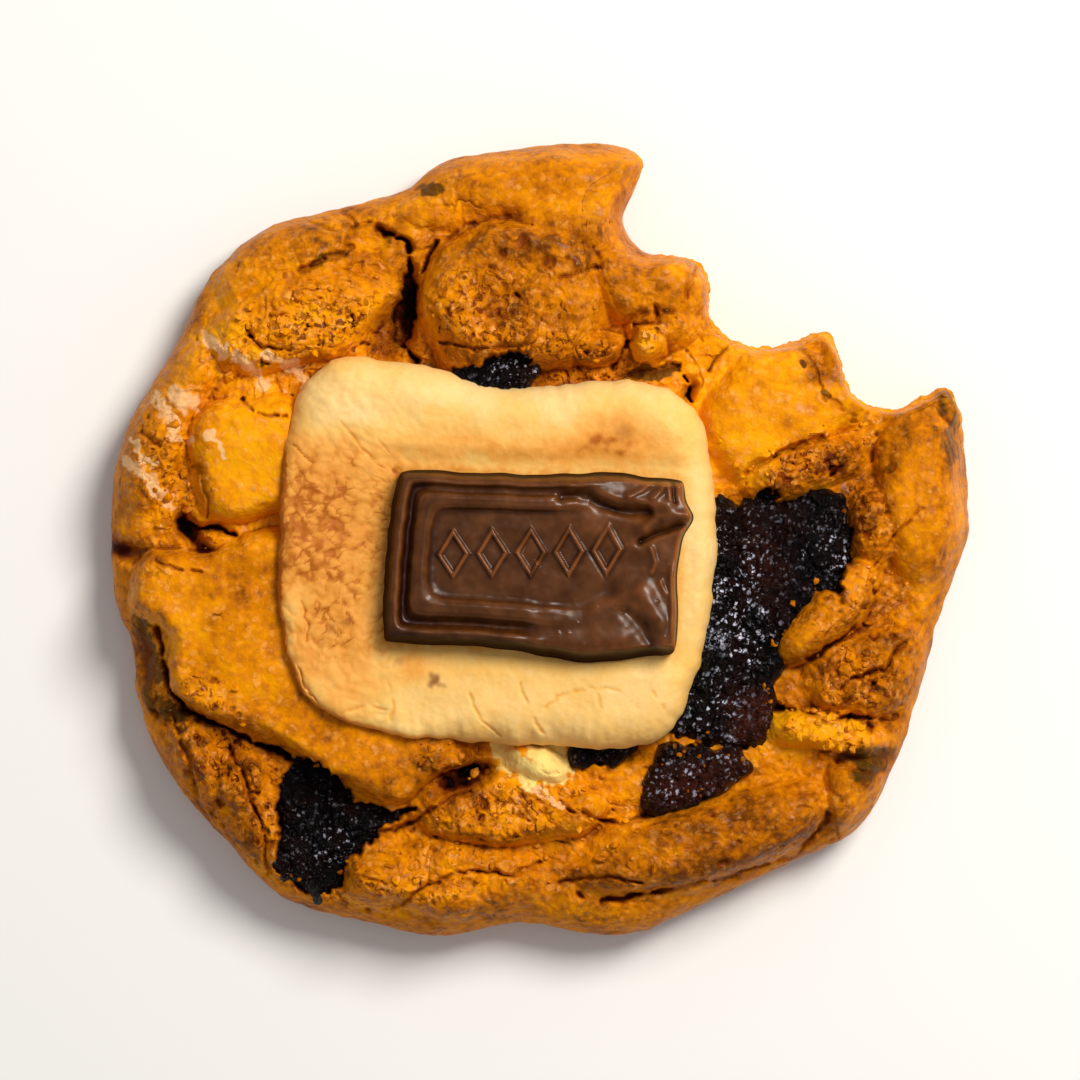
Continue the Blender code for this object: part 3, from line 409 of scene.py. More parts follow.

# Where the dough is darkened to olive brown, by oval areas: partly real staining, and partly
# painted shade in pits, holes and cracks, under the fold and along the rim
STAINED_AND_SHADED_ZONES = (
    Zone(-12.4, 40.2, 1.8, 1, 20, 1.00), Zone(46.8, 13.2, 2.0, 5.2, 8, 0.62),
    Zone(-45.6, -13.6, 2.4, 6.0, 6, 0.95), Zone(38.0, -25.0, 3.9, 2.0, 8, 0.80),
    Zone(12.7, 19.2, 3.2, 1.3, 3, 1.00), Zone(29.8, 20, 0.7, 0.6, 0, 0.80),
    Zone(32.5, 16.2, 0.6, 0.5, 0, 0.80), Zone(40, 8.1, 1.3, 0.7, 30, 0.60),
    Zone(-24.1, 32, 2.8, 0.9, 15, 0.60), Zone(-23.5, 35.6, 3.9, 2.3, 15, 0.35),
    Zone(-17.4, 33.7, 1.2, 0.9, 0, 0.60), Zone(-42.6, -19.6, 3.6, 1.5, -35, 0.85),
    Zone(-33.9, -36.8, 2.3, 3, 30, 0.60), Zone(5.8, -42, 4.6, 1.4, 0, 0.35),
    Zone(7, -24.4, 3.9, 1, 0, 0.80), Zone(-5.7, -42.8, 3.5, 1.2, 0, 0.40),
)

# Smears of melted marshmallow on the dough: half their width, and the points that they run through
Smear = namedtuple("Smear", "half_width points")
SMEARS = (
    Smear(0.8, ((-38.5, 23.5), (-37.2, 22.5), (-35.9, 21.4))),
    Smear(0.7, ((-34.4, 21), (-33.1, 19.8), (-31.3, 17.9))),
    Smear(0.6, ((-31, 21), (-29.2, 20.2), (-27.3, 18.9))),
    Smear(1.2, ((-41.1, 16.6), (-40.2, 15.9), (-39.3, 15.6))),
    Smear(0.7, ((-44, 16.3), (-42.7, 14.7), (-41.3, 12.9))),
    Smear(0.55, ((-42.4, 12.5), (-40.9, 11.7), (-39.5, 11.3))),
    Smear(0.8, ((-47.8, 9.3), (-45, 7.5), (-42.4, 4.4))),
    Smear(0.6, ((-44, 5.9), (-43.1, 4.9), (-42.3, 3.8))),
    Smear(0.5, ((-37.7, 12), (-36.5, 10.8), (-35.6, 9.4))),
    Smear(0.4, ((-46.5, 11.5), (-45.3, 9.4), (-43.6, 8.5))),
    Smear(0.7, ((-27.5, 19.1), (-26.4, 17.8), (-26.9, 15.9))),
    Smear(0.4, ((-1.2, -27.8), (0.8, -29.0), (2.6, -30.4))),
)

# Marshmallow that has run out over the dough in front, in the same way
OOZES = (
    Smear(1.8, ((0.4, -23.6), (1.4, -24.8), (1.8, -26.2))),
    Smear(1.3, ((-4.4, -24.0), (-3.0, -25.2), (-1.2, -26.8))), Smear(0.5, ((-5.4, -23.6), (-4.2, -24.4))),
)

# Where the dark chocolate is browner and crumbly, whitened, and full of painted glints, by oval areas
CRUMBLY_CHOCOLATE = (
    Zone(24.2, -20.4, 3.0, 3.6, 0, 1.3), Zone(25.0, -2.0, 2.4, 6.0, 20, 0.5),
    Zone(18.0, -27.4, 6.6, 3.0, 15, 1.1),
)
WHITENED_CHOCOLATE = (Zone(19.6, -11.2, 1.7, 1.2, -30, 1.0), Zone(22.0, -22.4, 0.9, 0.7, 0, 0.6))
SPARKLING_CHOCOLATE = (
    Zone(21.6, -4.0, 3.6, 6.4, 0, 1.0), Zone(23.4, -11.0, 3.2, 4.0, 0, 1.0),
    Zone(32.4, -1.8, 2.6, 2.4, 0, 0.9), Zone(19.0, -18.0, 3.4, 4.0, 0, 0.6),
    Zone(18.0, -27.0, 6.0, 2.6, 15, 0.4), Zone(-24.0, -34.0, 4.0, 3.0, -30, 0.5),
    Zone(-4.0, 19.2, 4.0, 1.6, 0, 0.7),
)

# The row of lozenges on the milk chocolate: their middles, their place and slope, and their half sizes
LOZENGE_PLACES = [-9.6 + 4.3 * k for k in range(5)]
LOZENGE_Y = -1.3
LOZENGE_SLOPE = 0.03
LOZENGE_HALF = (1.85, 3.0)

# How low a mass of dark chocolate reaches in its pocket
CHUNK_FOOT_Z = 7.3

# How far the marshmallow is toasted, from 0 for cream to 1 for brown, by oval areas
TOASTED_ZONES = (
    Zone(-5.0, 16.6, 22.0, 3.2, -2, 0.04), Zone(-5.0, 13.0, 20.0, 2.2, -2, 0.28),
    Zone(-22.5, 15.4, 4.6, 3.8, 0, 0.04), Zone(11.0, 14.0, 5.5, 2.6, 0, 0.32),
    Zone(-5.0, 10.2, 11.0, 2.0, 0, 0.62), Zone(8.0, 10.6, 6.6, 2.8, 0, 0.90),
    Zone(-25.4, 1.6, 8.2, 12.4, 0, 0.90), Zone(-19.2, 3.6, 3.0, 8.0, 0, 0.78),
    Zone(-22.4, -11.0, 4.6, 4.6, 0, 0.80), Zone(-28.4, -10.4, 1.5, 4.6, 0, 0.42),
    Zone(-21.5, -17.5, 5.0, 3.4, -30, 0.72), Zone(-21.5, 14.4, 5.5, 3.2, 0, 0.02),
    Zone(-3.0, -19.0, 19.0, 4.2, 0, 0.16), Zone(11.5, -17.4, 4.4, 3.6, 0, 0.12),
    Zone(18.1, 0.0, 1.9, 12.0, 0, 0.05), Zone(-8.0, -14.0, 11.0, 1.4, 0, 0.34),
    Zone(-14.6, -14.4, 2.0, 1.4, 0, 0.62),
)

# Scorched spots on the marshmallow: their middle, radius and how dark they are
SCORCHES = (
    (-12.0, -15.8, 0.9, 0.8), (-16.0, -13.8, 0.6, 0.3), (-11.2, -16.5, 0.5, 0.5), (-17.2, -3.4, 0.5, 0.3),
    (-21.8, -9.0, 0.6, 0.5), (-23.6, -10.0, 0.7, 0.4), (9.4, 12.0, 1.2, 0.3), (-24.6, -11.6, 0.5, 0.35),
)

# Fine cracks and creases in the marshmallow's skin
SKIN_CRACKS = (
    Crack(0.3, 0.45, ((-8.0, -17.3), (-6.8, -20.1), (-4.5, -22.2))),
    Crack(0.3, 0.4, ((-2.2, -16.1), (-1.1, -19.6), (0.6, -22.4))),
    Crack(0.3, 0.4, ((0.6, -19.0), (2.4, -17.5), (5.8, -16.7), (8.7, -17.0))),
    Crack(0.25, 0.3, ((6.4, -17.3), (7.0, -19.0))), Crack(0.3, 0.3, ((12.7, -17.3), (14.1, -19.0))),
    Crack(0.35, 0.35, ((-17.2, -16.1), (-16.6, -18.4), (-16.9, -20.2))),
    Crack(0.35, 0.4, ((-28.0, 10.9), (-25.8, 8.6))),
    Crack(0.4, 0.5, ((-27.6, -13.8), (-26.6, -16.6), (-25.0, -18.6))),
    Crack(0.35, 0.4, ((-27.0, -6.9), (-26.2, -9.8), (-26.4, -11.5))),
    Crack(0.35, 0.35, ((-24.1, -8.1), (-22.4, -10.6))), Crack(0.3, 0.3, ((-21.8, -8.3), (-21.0, -9.4))),
    Crack(0.4, 0.25, ((-22.9, 13.8), (-20.1, 10.4), (-17.8, 8.1))),
    Crack(0.4, 0.2, ((-19.3, 12.7), (-17.0, 9.8))),
    Crack(0.3, 0.3, ((-22.6, -19.6), (-19.4, -18.6), (-17.4, -19.2))),
)

# The moulded frame's profile: millimetres in from the edge, and the share of the full height
MOULDED = (
    (0.0, 0.14), (0.25, 0.5), (0.55, 0.8), (0.85, 0.94), (1.2, 1.0), (1.5, 0.97), (1.8, 0.84), (2.1, 0.76),
    (2.4, 0.76), (2.7, 0.84), (3.0, 0.95), (3.4, 1.0), (4.1, 1.0), (4.5, 0.95), (4.8, 0.85), (5.15, 0.81),
    (40.0, 0.81),
)

# Ridges and creases where the chocolate has melted: their lines, breadth and rise
Fold = namedtuple("Fold", "breadth rise points")
MELTED_FOLDS = (
    Fold(0.55, -0.75, (
        (2.4, 4.7), (4.1, 4.9), (5.6, 4.6), (6.7, 3.8), (8.3, 3.2), (10.2, 3.0), (11.8, 3.3),
    )),
    Fold(0.95, 0.55, ((3.4, 6.0), (5.8, 5.9), (7.4, 5.1), (9.0, 4.4), (11.4, 4.3), (14.0, 3.9))),
    Fold(0.85, 0.85, ((11.6, 1.4), (12.8, 2.4), (14.8, 2.7), (17.4, 2.5))),
    Fold(0.42, -0.7, ((11.4, -0.2), (12.7, 0.7), (14.4, 1.4), (16.9, 1.8))),
    Fold(0.35, 0.28, ((10.0, 4.9), (11.4, 5.6), (12.8, 6.8))),
    Fold(0.40, 0.35, ((12.8, 4.8), (13.6, 5.6), (14.2, 7.0))),
    Fold(0.25, -0.35, ((15.0, 7.2), (15.0, 4.4))), Fold(0.22, -0.30, ((16.0, 7.2), (16.1, 4.2))),
    Fold(0.30, 0.30, ((14.4, 7.2), (14.5, 4.6))),
    Fold(0.70, -0.50, ((9.8, -7.8), (11.4, -9.5), (12.8, -11.9))),
    Fold(1.10, 0.55, ((11.6, -5.6), (13.0, -8.2), (14.0, -11.0))),
    Fold(0.30, 0.28, ((12.6, -0.9), (13.1, -2.6), (12.8, -3.6))),
    Fold(0.25, 0.22, ((13.9, -4.6), (14.3, -6.0))),
    Fold(1.10, 0.30, ((0.0, -10.2), (5.0, -10.8), (9.0, -10.6))),
    Fold(0.90, -0.28, ((0.0, -7.8), (4.0, -7.2), (8.0, -5.6))),
)

# A twenty-sided ball's corners and faces
GOLDEN = (1 + 5**0.5) / 2
BALL_CORNERS = (
    (-1, GOLDEN, 0), (1, GOLDEN, 0), (-1, -GOLDEN, 0), (1, -GOLDEN, 0), (0, -1, GOLDEN), (0, 1, GOLDEN),
    (0, -1, -GOLDEN), (0, 1, -GOLDEN), (GOLDEN, 0, -1), (GOLDEN, 0, 1), (-GOLDEN, 0, -1), (-GOLDEN, 0, 1),
)
BALL_FACES = (
    (0, 11, 5), (0, 5, 1), (0, 1, 7), (0, 7, 10), (0, 10, 11), (1, 5, 9), (5, 11, 4), (11, 10, 2),
    (10, 7, 6), (7, 1, 8), (3, 9, 4), (3, 4, 2), (3, 2, 6), (3, 6, 8), (3, 8, 9), (4, 9, 5), (2, 4, 11),
    (6, 2, 10), (8, 6, 7), (9, 8, 1),
)

# How far a crumb's middle stands off what carries it, in its own widths, the lowest place for one,
# how brown it is on chocolate, and where loose crumbs lie, by oval areas
CRUMB_RISE = 0.16
CRUMB_FLOOR = 8.0
CRUMB_ON_CHOCOLATE = 0.95
CRUMB_ZONES = (
    Zone(-1.0, -27.0, 7.0, 3.0, 0, 1.0), Zone(31.5, -21.8, 6.0, 2.6, -10, 1.4),
    Zone(37.0, -13.0, 5.0, 7.0, 0, 0.9), Zone(36.6, 3.0, 2.6, 5.0, 0, 1.3),
    Zone(30.0, 9.0, 7.0, 2.5, 18, 0.7), Zone(-13.0, -38.0, 9.0, 4.0, 0, 0.8),
    Zone(-38.0, -27.0, 6.0, 7.0, 0, 0.9), Zone(-11.0, -25.0, 3.6, 2.2, 0, 1.0),
    Zone(1.0, 22.0, 9.0, 3.0, 0, 0.6), Zone(-26.0, 25.0, 11.0, 4.0, 10, 0.5),
    Zone(-43.0, 8.0, 4.0, 9.0, 20, 0.7), Zone(4.0, -33.0, 9.0, 5.0, 0, 0.6),
)


def lattice(ix, iy, seed):
    """A repeatable number from 0 to 1 for each lattice point, by mixing the bits of its place."""
    mixed = (ix * 374761393 + iy * 668265263 + seed * 974634777) & 0xFFFFFFFF
    mixed = ((mixed ^ (mixed >> 13)) * 1274126177) & 0xFFFFFFFF
    return ((mixed ^ (mixed >> 16)) & 0xFFFF) / 65535.0


def fade(t):
    """The quintic 6t^5 - 15t^4 + 10t^3, which joins lattice cells with no crease."""
    return t**3 * (t * (t * 6 - 15) + 10)


def noise(x, y, grain, seed):
    """Gradient noise in plan, about -0.7 to 0.7: slopes at the corners of square cells, blended."""
    gx, gy = x / grain, y / grain
    ix, iy = np.floor(gx).astype(np.int64), np.floor(gy).astype(np.int64)
    fx, fy = gx - ix, gy - iy
    total = 0.0
    for dx in (0, 1):
        for dy in (0, 1):
            angle = 2 * np.pi * lattice(ix + dx, iy + dy, seed)
            slope = np.cos(angle) * (fx - dx) + np.sin(angle) * (fy - dy)
            total = total + (fade(fx) if dx else 1 - fade(fx)) * (fade(fy) if dy else 1 - fade(fy)) * slope
    return total


def waves(x, y, sizes, seed):
    """Noise summed over several sizes, each given as how high and how broad its swellings are."""
    return sum(height * noise(x, y, grain, seed + k) for k, (height, grain) in enumerate(sizes))


def carried(x, y, sizes, seed):
    """The places carried out of true by waves, with one seed for X and the next but one for Y."""
    return x + waves(x, y, sizes, seed), y + waves(x, y, sizes, seed + 2)


def noise_in_space(points, grain, seed):
    """Gradient noise in space, for walls: slopes at the corners of cubic cells, blended."""
    cell = np.floor(points / grain).astype(np.int64)
    part = points / grain - cell
    total = 0.0
    for corner in np.ndindex(2, 2, 2):
        ax = cell[..., 0] + corner[0] + 7919 * (cell[..., 2] + corner[2])
        ay = cell[..., 1] + corner[1] - 10473 * (cell[..., 2] + corner[2])
        angle, rise = 2 * np.pi * lattice(ax, ay, seed), 2 * lattice(ax, ay, seed + 500) - 1
        flat = np.sqrt(1 - rise * rise)
        offset = part - np.array(corner)
        slope = flat * (np.cos(angle) * offset[..., 0] + np.sin(angle) * offset[..., 1])
        slope = slope + rise * offset[..., 2]
        weight = 1.0
        for k in range(3):
            weight = weight * (fade(part[..., k]) if corner[k] else 1 - fade(part[..., k]))
        total = total + weight * slope
    return total


def pebbles(points, size, seed):
    """The distances to the nearest and next of one random point per cubic cell, in cells.

    Also a random number from 0 to 1 that belongs to the nearest point.
    """
    cell = np.floor(points / size).astype(np.int64)
    part = points / size - cell
    first = np.full(part.shape[:-1], 9.0)
    second, tag = first.copy(), first.copy()
    for corner in np.ndindex(3, 3, 3):
        step = np.array(corner) - 1
        ax = cell[..., 0] + step[0] + 7919 * (cell[..., 2] + step[2])
        ay = cell[..., 1] + step[1] - 10473 * (cell[..., 2] + step[2])
        away = sum((step[k] + lattice(ax, ay, seed + k) - part[..., k]) ** 2 for k in range(3))
        nearer = away < first
        second = np.where(nearer, first, np.minimum(second, away))
        tag = np.where(nearer, lattice(ax, ay, seed + 7), tag)
        first = np.where(nearer, away, first)
    return np.sqrt(first), np.sqrt(second), tag


def smoothstep(low, high, value):
    """The cubic 3t^2 - 2t^3, from 0 at the low value to 1 at the high one, which may lie below it."""
    t = np.clip((value - low) / (high - low), 0, 1)
    return t * t * (3 - 2 * t)


def swell(t):
    """A rounded lip: it climbs steeply from 0 at its edge and eases to 1 where it is level."""
    return 1 - (1 - np.clip(t, 0, 1)) ** LIP_STEEPNESS


def soft_max(a, b):
    """The higher of two heights, with the valley between them filled a little."""
    h = np.clip(VALLEY_BLEND - np.abs(a - b), 0, None) / VALLEY_BLEND
    return np.maximum(a, b) + h * h * VALLEY_BLEND / 4


def closed_spline(points, steps=16):
    """A centripetal Catmull-Rom curve through the points, back to the first one."""
    p1 = np.array(points, float)
    p0, p2, p3 = np.roll(p1, 1, 0), np.roll(p1, -1, 0), np.roll(p1, -2, 0)
    pairs = (p0, p1), (p1, p2), (p2, p3)
    t01, t12, t23 = (np.sqrt(np.linalg.norm(b - a, axis=1))[:, None] for a, b in pairs)
    m1 = (p2 - p1) + t12 * ((p1 - p0) / t01 - (p2 - p0) / (t01 + t12))
    m2 = (p2 - p1) + t12 * ((p3 - p2) / t23 - (p3 - p1) / (t12 + t23))
    s = (np.arange(steps) / steps)[None, :, None]
    curve = (
        (2 * s**3 - 3 * s**2 + 1) * p1[:, None]
        + (s**3 - 2 * s**2 + s) * m1[:, None]
        + (3 * s**2 - 2 * s**3) * p2[:, None]
        + (s**3 - s**2) * m2[:, None]
    )
    return curve.reshape(-1, 2)


def evenly_spaced(curve, count):
    """The closed curve again, as count points the same distance apart."""
    closed = np.vstack([curve, curve[:1]])
    along = np.concatenate([[0], np.cumsum(np.linalg.norm(np.diff(closed, axis=0), axis=1))])
    at = np.linspace(0, along[-1], count, endpoint=False)
    return np.stack([np.interp(at, along, closed[:, k]) for k in (0, 1)], axis=1)


def softened(curve, width):
    """The closed curve with its waves shorter than about the width faded out."""
    spacing = np.linalg.norm(np.diff(curve, axis=0), axis=1).mean()
    spectrum = np.fft.fft(curve[:, 0] + 1j * curve[:, 1])
    turns = np.fft.fftfreq(len(curve)) * 2 * np.pi / spacing
    smooth = np.fft.ifft(spectrum * np.exp(-0.5 * (turns * width) ** 2))
    return np.stack([smooth.real, smooth.imag], axis=1)


def outward(curve):
    """Unit normals that point out of an anticlockwise closed curve."""
    along = np.roll(curve, -1, 0) - np.roll(curve, 1, 0)
    along /= np.linalg.norm(along, axis=1)[:, None]
    return np.stack([along[:, 1], -along[:, 0]], axis=1)


def distance_to_line(x, y, points):
    """The shortest distance from each place to a line through the points."""
    nearest = np.full(np.shape(x), np.inf)
    for (ax, ay), (bx, by) in zip(points[:-1], points[1:]):
        dx, dy = bx - ax, by - ay
        t = np.clip(((x - ax) * dx + (y - ay) * dy) / (dx * dx + dy * dy), 0, 1)
        nearest = np.minimum(nearest, np.hypot(x - ax - t * dx, y - ay - t * dy))
    return nearest


def depth_inside(x, y, curve):
    """How far each place is inside a closed curve, and below zero outside it."""
    closed = np.vstack([curve, curve[:1]])
    crossings = np.zeros(np.shape(x), int)
    for (ax, ay), (bx, by) in zip(closed[:-1], closed[1:]):
        if ay != by:
            crossings += ((ay > y) != (by > y)) & (x < ax + (y - ay) * (bx - ax) / (by - ay))
    return distance_to_line(x, y, closed) * np.where(crossings % 2 == 1, 1, -1)


def out_of_oval(x, y, shape):
    """How far out each place is in the shape's rounded oval: 0 in its middle and 1 at its edge."""
    turn = np.radians(shape.turn)
    u = (x - shape.x) * np.cos(turn) + (y - shape.y) * np.sin(turn)
    v = (y - shape.y) * np.cos(turn) - (x - shape.x) * np.sin(turn)
    out = np.abs(u / shape.half_length) ** SUPERELLIPSE + np.abs(v / shape.half_width) ** SUPERELLIPSE
    return out ** (1 / SUPERELLIPSE)


def in_oval(x, y, shape):
    """About how far each place is inside the shape's rounded oval, and below zero outside it."""
    return (1 - out_of_oval(x, y, shape)) * min(shape.half_length, shape.half_width)


def recess_curve(count):
    """The hollow's edge, as count points the same distance apart."""
    return evenly_spaced(closed_spline(RECESS_EDGE), count)


def mass_curve(mass, spacing):
    """The mass's edge, anticlockwise, as points about the spacing apart."""
    curve = closed_spline(mass.edge[::-1])
    perimeter = np.linalg.norm(curve - np.roll(curve, 1, 0), axis=1).sum()
    return evenly_spaced(curve, int(perimeter / spacing))


def dough_form(x, y, base):
    """The crust's height over each place, how rough it is there, and how much painted shade it gets.

    Each lump lifts the dough by its rise times a rounded lip, and the highest lump wins. Cracks,
    holes and pits then sink it by their depth times a smooth fall-off from their middle. Lumps'
    edges are carried out of true by noise, and rough crust gets crags, and plates whose heights are
    a noise rounded to steps. Dough lies in a pocket below each mass of chocolate.
    """
    wx, wy = carried(x, y, EDGE_WAVES, 1)
    rise = np.zeros(np.shape(x))
    rough = np.full(np.shape(x), PLAIN_ROUGHNESS)
    for lump in LUMPS:
        inside = in_oval(wx, wy, lump)
        rise = soft_max(rise, lump.rise * swell(inside / lump.lip))
        rough += (lump.rough - rough) * smoothstep(-0.3, 1, inside)
    inside = depth_inside(wx, wy, closed_spline(FOLD_EDGE, 4))
    rise = soft_max(rise, FOLD_RISE * swell(inside / FOLD_LIP))
    rough += (FOLD_ROUGHNESS - rough) * smoothstep(-0.3, 1, inside)

    # Painted shade, from 0 to 1, that cracks, holes, pits and the pockets round the chunks lay on the dough
    hollow = np.zeros(np.shape(x))
    fx, fy = carried(x, y, CRACK_WAVES, 11)
    pinch = 0.75 + 1.0 * noise(x, y, 2.6, 15) + 0.7 * noise(x, y, 1.0, 16)
    for crack in CRACKS:
        half_width = np.maximum(0.5 * crack.width * pinch, 0.02)
        cut = 1 - smoothstep(0, 1.25, distance_to_line(fx, fy, crack.points) / (half_width + 0.12))
        cut *= smoothstep(0.1, 0.45, pinch)
        rise -= CRACK_SHARE * crack.depth * cut
        hollow = np.maximum(hollow, cut * min(0.9, 0.08 + crack.depth / 7))
    for hole in HOLES:
        cut = smoothstep(-0.7, 1.1, in_oval(fx, fy, hole))
        rise -= hole.depth * cut
        hollow = np.maximum(hollow, cut * min(1.0, 0.1 + hole.depth / 5))
    tx, ty = fx + waves(x, y, PIT_WAVES, 21), fy + waves(x, y, PIT_WAVES, 22)
    for px, py, radius, depth in PITS:
        cut = 1 - smoothstep(0.35, 1.2, np.hypot(tx - px, ty - py) / radius)
        rise -= PIT_SHARE * depth * cut
        hollow = np.maximum(hollow, min(0.7, 0.2 + 0.22 * depth) * cut)

    crag = waves(x, y, CRAGS, 5) * (0.25 + 0.75 * rough)
    plates = waves(x, y, PLATE_WAVES, 41)
    stepped = np.floor(plates) + smoothstep(0.36, 0.64, plates - np.floor(plates))
    crag += PLATE_STEP * (stepped - plates) * smoothstep(0.15, 0.9, rough)
    height = base + np.maximum(rise, DEEPEST_VALLEY) + crag
    rx, ry = fx + waves(x, y, POCKET_WAVES, 17), fy + waves(x, y, POCKET_WAVES, 18)
    for mass in MASSES:
        inside = depth_inside(rx, ry, closed_spline(mass.edge, 4))
        height += (np.minimum(height, mass.top - POCKET_DEPTH) - height) * smoothstep(-0.35, 0.3, inside)
        # Painted shade on the dough round the mass's pocket
        hollow = np.maximum(hollow, smoothstep(-0.5, 0.2, inside))
    return height, rough, hollow


def open_pores(near, tag, share, seed):
    """Rounded pits about the random points whose tag is under the share, of many widths."""
    radius = 0.2 + 0.34 * ((tag * 37 + seed) % 1)
    return (tag < share) * smoothstep(radius, 0.45 * radius, near)


def steepness(rows):
    """How steep the surface of the rows is, from 0 where it lies flat to 1 where it stands.

    Its normal is the cross product of the steps along and across the rows.
    """
    across = np.roll(rows, -1, 1) - np.roll(rows, 1, 1)
    normal = np.cross(np.gradient(rows, axis=0), across)
    level = np.abs(normal[..., 2]) / (np.linalg.norm(normal, axis=2) + 1e-9)
    return smoothstep(0.8, 0.4, blurred(level, 14))


def crumb_relief(points, rough, porous):
    """Fine relief of baked dough, outwards from its surface, and how much painted shade its pores and seams
    get.

    Crust has faint waves in three sizes, and thin seams where a broad noise is near zero. Crumbs are
    one less the squared distance to the nearest random point, and pores are pits at some of them.
    """
    bent = points + 0.45 * np.stack([noise_in_space(points, 1.1, 51 + k) for k in range(3)], axis=-1)
    big, next_big, tag = pebbles(bent, 2.2, 61)
    small, next_small, small_tag = pebbles(bent, 1.05, 71)
    pores = open_pores(big, tag, 0.2 * porous, 3) * smoothstep(0.75, 0.5, big)
    small_pores = open_pores(small, small_tag, 0.42 * porous, 5)
    crumbs = 0.17 * (0.45 - big**2) + 0.19 * (0.45 - small**2)
    between = 0.06 * (1 - smoothstep(0, 0.2, next_big - big))
    crumbs -= between + 0.06 * (1 - smoothstep(0, 0.25, next_small - small))
    crusty = smoothstep(0.1, 0.7, rough)
    waved = 0.3 * noise_in_space(points, 2.6, 81)
    waved += 0.2 * noise_in_space(points, 1.2, 82) * (0.4 + 0.6 * crusty)
    waved += 0.14 * noise_in_space(points, 0.7, 83) * crusty
    seam = np.abs(noise_in_space(bent * (1, 1, 1.6), 3.6, 85))
    seam = smoothstep(0.05, 0.012, seam) * smoothstep(0.0, 0.3, noise_in_space(points, 5.0, 86)) * crusty
    relief = waved + crumbs * smoothstep(0.35, 1.0, rough) - 0.6 * pores - 0.34 * small_pores - 0.3 * seam
    return relief, np.maximum(np.maximum(pores, 0.8 * small_pores), 0.75 * seam)


def blurred(grid, rounds):
    """The grid of rows round the piece, evened out with its neighbours round by round."""
    for _ in range(rounds):
        beside = (np.roll(grid, 1, 1) + np.roll(grid, -1, 1)) / 2
        above = np.vstack([grid[:1], grid[:-1]])
        below = np.vstack([grid[1:], grid[-1:]])
        grid = (2 * grid + beside * 2 + above + below) / 6
    return grid


def linear(hex_colour):
    """An sRGB hex colour as linear red, green and blue."""
    parts = [int(hex_colour[k : k + 2], 16) / 255 for k in (1, 3, 5)]
    return tuple(p / 12.92 if p <= 0.04045 else ((p + 0.055) / 1.055) ** 2.4 for p in parts)


def make_piece(name, rows, material, attributes=(), facing=None):
    """Skins rows of points, from the top's middle outwards and down to the underside's middle.

    Neighbouring rows are joined by four-sided faces. One flat face closes an end that lies level,
    and a fan of triangles about the row's mean closes any other.
    """
    count, steps = rows.shape[:2]
    grid = np.arange(count * steps).reshape(count, steps)
    after = np.roll(grid, -1, 1)
    faces = [np.stack([grid[:-1], grid[1:], after[1:], after[:-1]], axis=-1).reshape(-1, 4)]
    domed = []
    for row, ring in ((0, grid[0]), (-1, grid[-1][::-1])):
        if np.ptp(rows[row, :, 2]) < LEVEL:
            faces.append(ring[None])
        else:
            hub = np.full(steps, count * steps + len(domed))
            faces.append(np.stack([hub, ring, np.roll(ring, -1)], axis=1))
            domed.append(row)
    points = np.vstack([rows.reshape(-1, 3), rows[domed].mean(axis=1)])
    flat = [(label, np.append(values.ravel(), values[domed].mean(axis=1))) for label, values in attributes]
    made = make_mesh(name, points, faces, material, flat)
    if facing is not None:
        shading = np.vstack([facing.reshape(-1, 3), facing[domed, 0]])
        made.data.normals_split_custom_set_from_vertices(shading.tolist())
    return made


def make_mesh(name, points, faces, material, attributes=(), smooth=True):
    """A mesh object from its points and its arrays of faces, one array for each number of sides."""
    mesh = bpy.data.meshes.new(name)
    mesh.vertices.add(len(points))
    mesh.vertices.foreach_set("co", (points * MM).astype(np.float32).ravel())
    corners = np.concatenate([kind.ravel() for kind in faces]).astype(np.int32)
    sizes = np.concatenate([np.full(len(kind), kind.shape[1]) for kind in faces])
    mesh.loops.add(len(corners))
    mesh.loops.foreach_set("vertex_index", corners)
    mesh.polygons.add(len(sizes))
    mesh.polygons.foreach_set("loop_start", (np.cumsum(sizes) - sizes).astype(np.int32))
    mesh.update(calc_edges=True)
    if smooth:
        mesh.shade_smooth()
    else:
        mesh.shade_flat()
    for label, values in attributes:
        mesh.attributes.new(label, "FLOAT", "POINT").data.foreach_set("value", values.astype(np.float32))
    mesh.materials.append(material)
    made = bpy.data.objects.new(name, mesh)
    bpy.context.scene.collection.objects.link(made)
    return made


def band_core(ring, height):
    """The level row that a band ends in inside the body: its ring evened out and drawn in a little."""
    flat = ring[:, :2]
    flat = softened(flat, BAND_EVENED) - BAND_INSET * outward(softened(flat, 2 * BAND_EVENED))
    return np.column_stack([flat, np.full(len(flat), height)])[None]


def make_bands(names, joins, rows, material, attributes):
    """One closed surface as several closed pieces, parted at the rows given.

    Each piece runs one row on under its neighbour, just below the skin, and then straight down into
    the body. All of them take their shading from the whole surface, so that no join shows.
    """
    along = np.roll(rows, -1, 1) - np.roll(rows, 1, 1)
    facing = np.cross(np.gradient(rows, axis=0), along)
    facing /= np.linalg.norm(facing, axis=2)[..., None] + 1e-9
    under = rows - BAND_SINK * facing
    pieces = []
    for name, first, last in zip(names, (0, *joins), (*joins, len(rows) - 1)):
        picked = np.arange(first, last + 1)
        layers = [rows[picked]]
        if first > 0:
            start = under[first - 1]
            layers = [band_core(start, BAND_CORE_Z + BAND_PLATE), start[None], *layers]
            picked = np.r_[first - 1, first - 1, picked]
        if last < len(rows) - 1:
            end = under[last + 1]
            layers = [*layers, end[None], band_core(end, BAND_CORE_Z)]
            picked = np.r_[picked, last + 1, last + 1]
        kept = [(label, values[picked]) for label, values in attributes]
        pieces.append(make_piece(name, np.concatenate(layers), material, kept, facing[picked]))
    return pieces


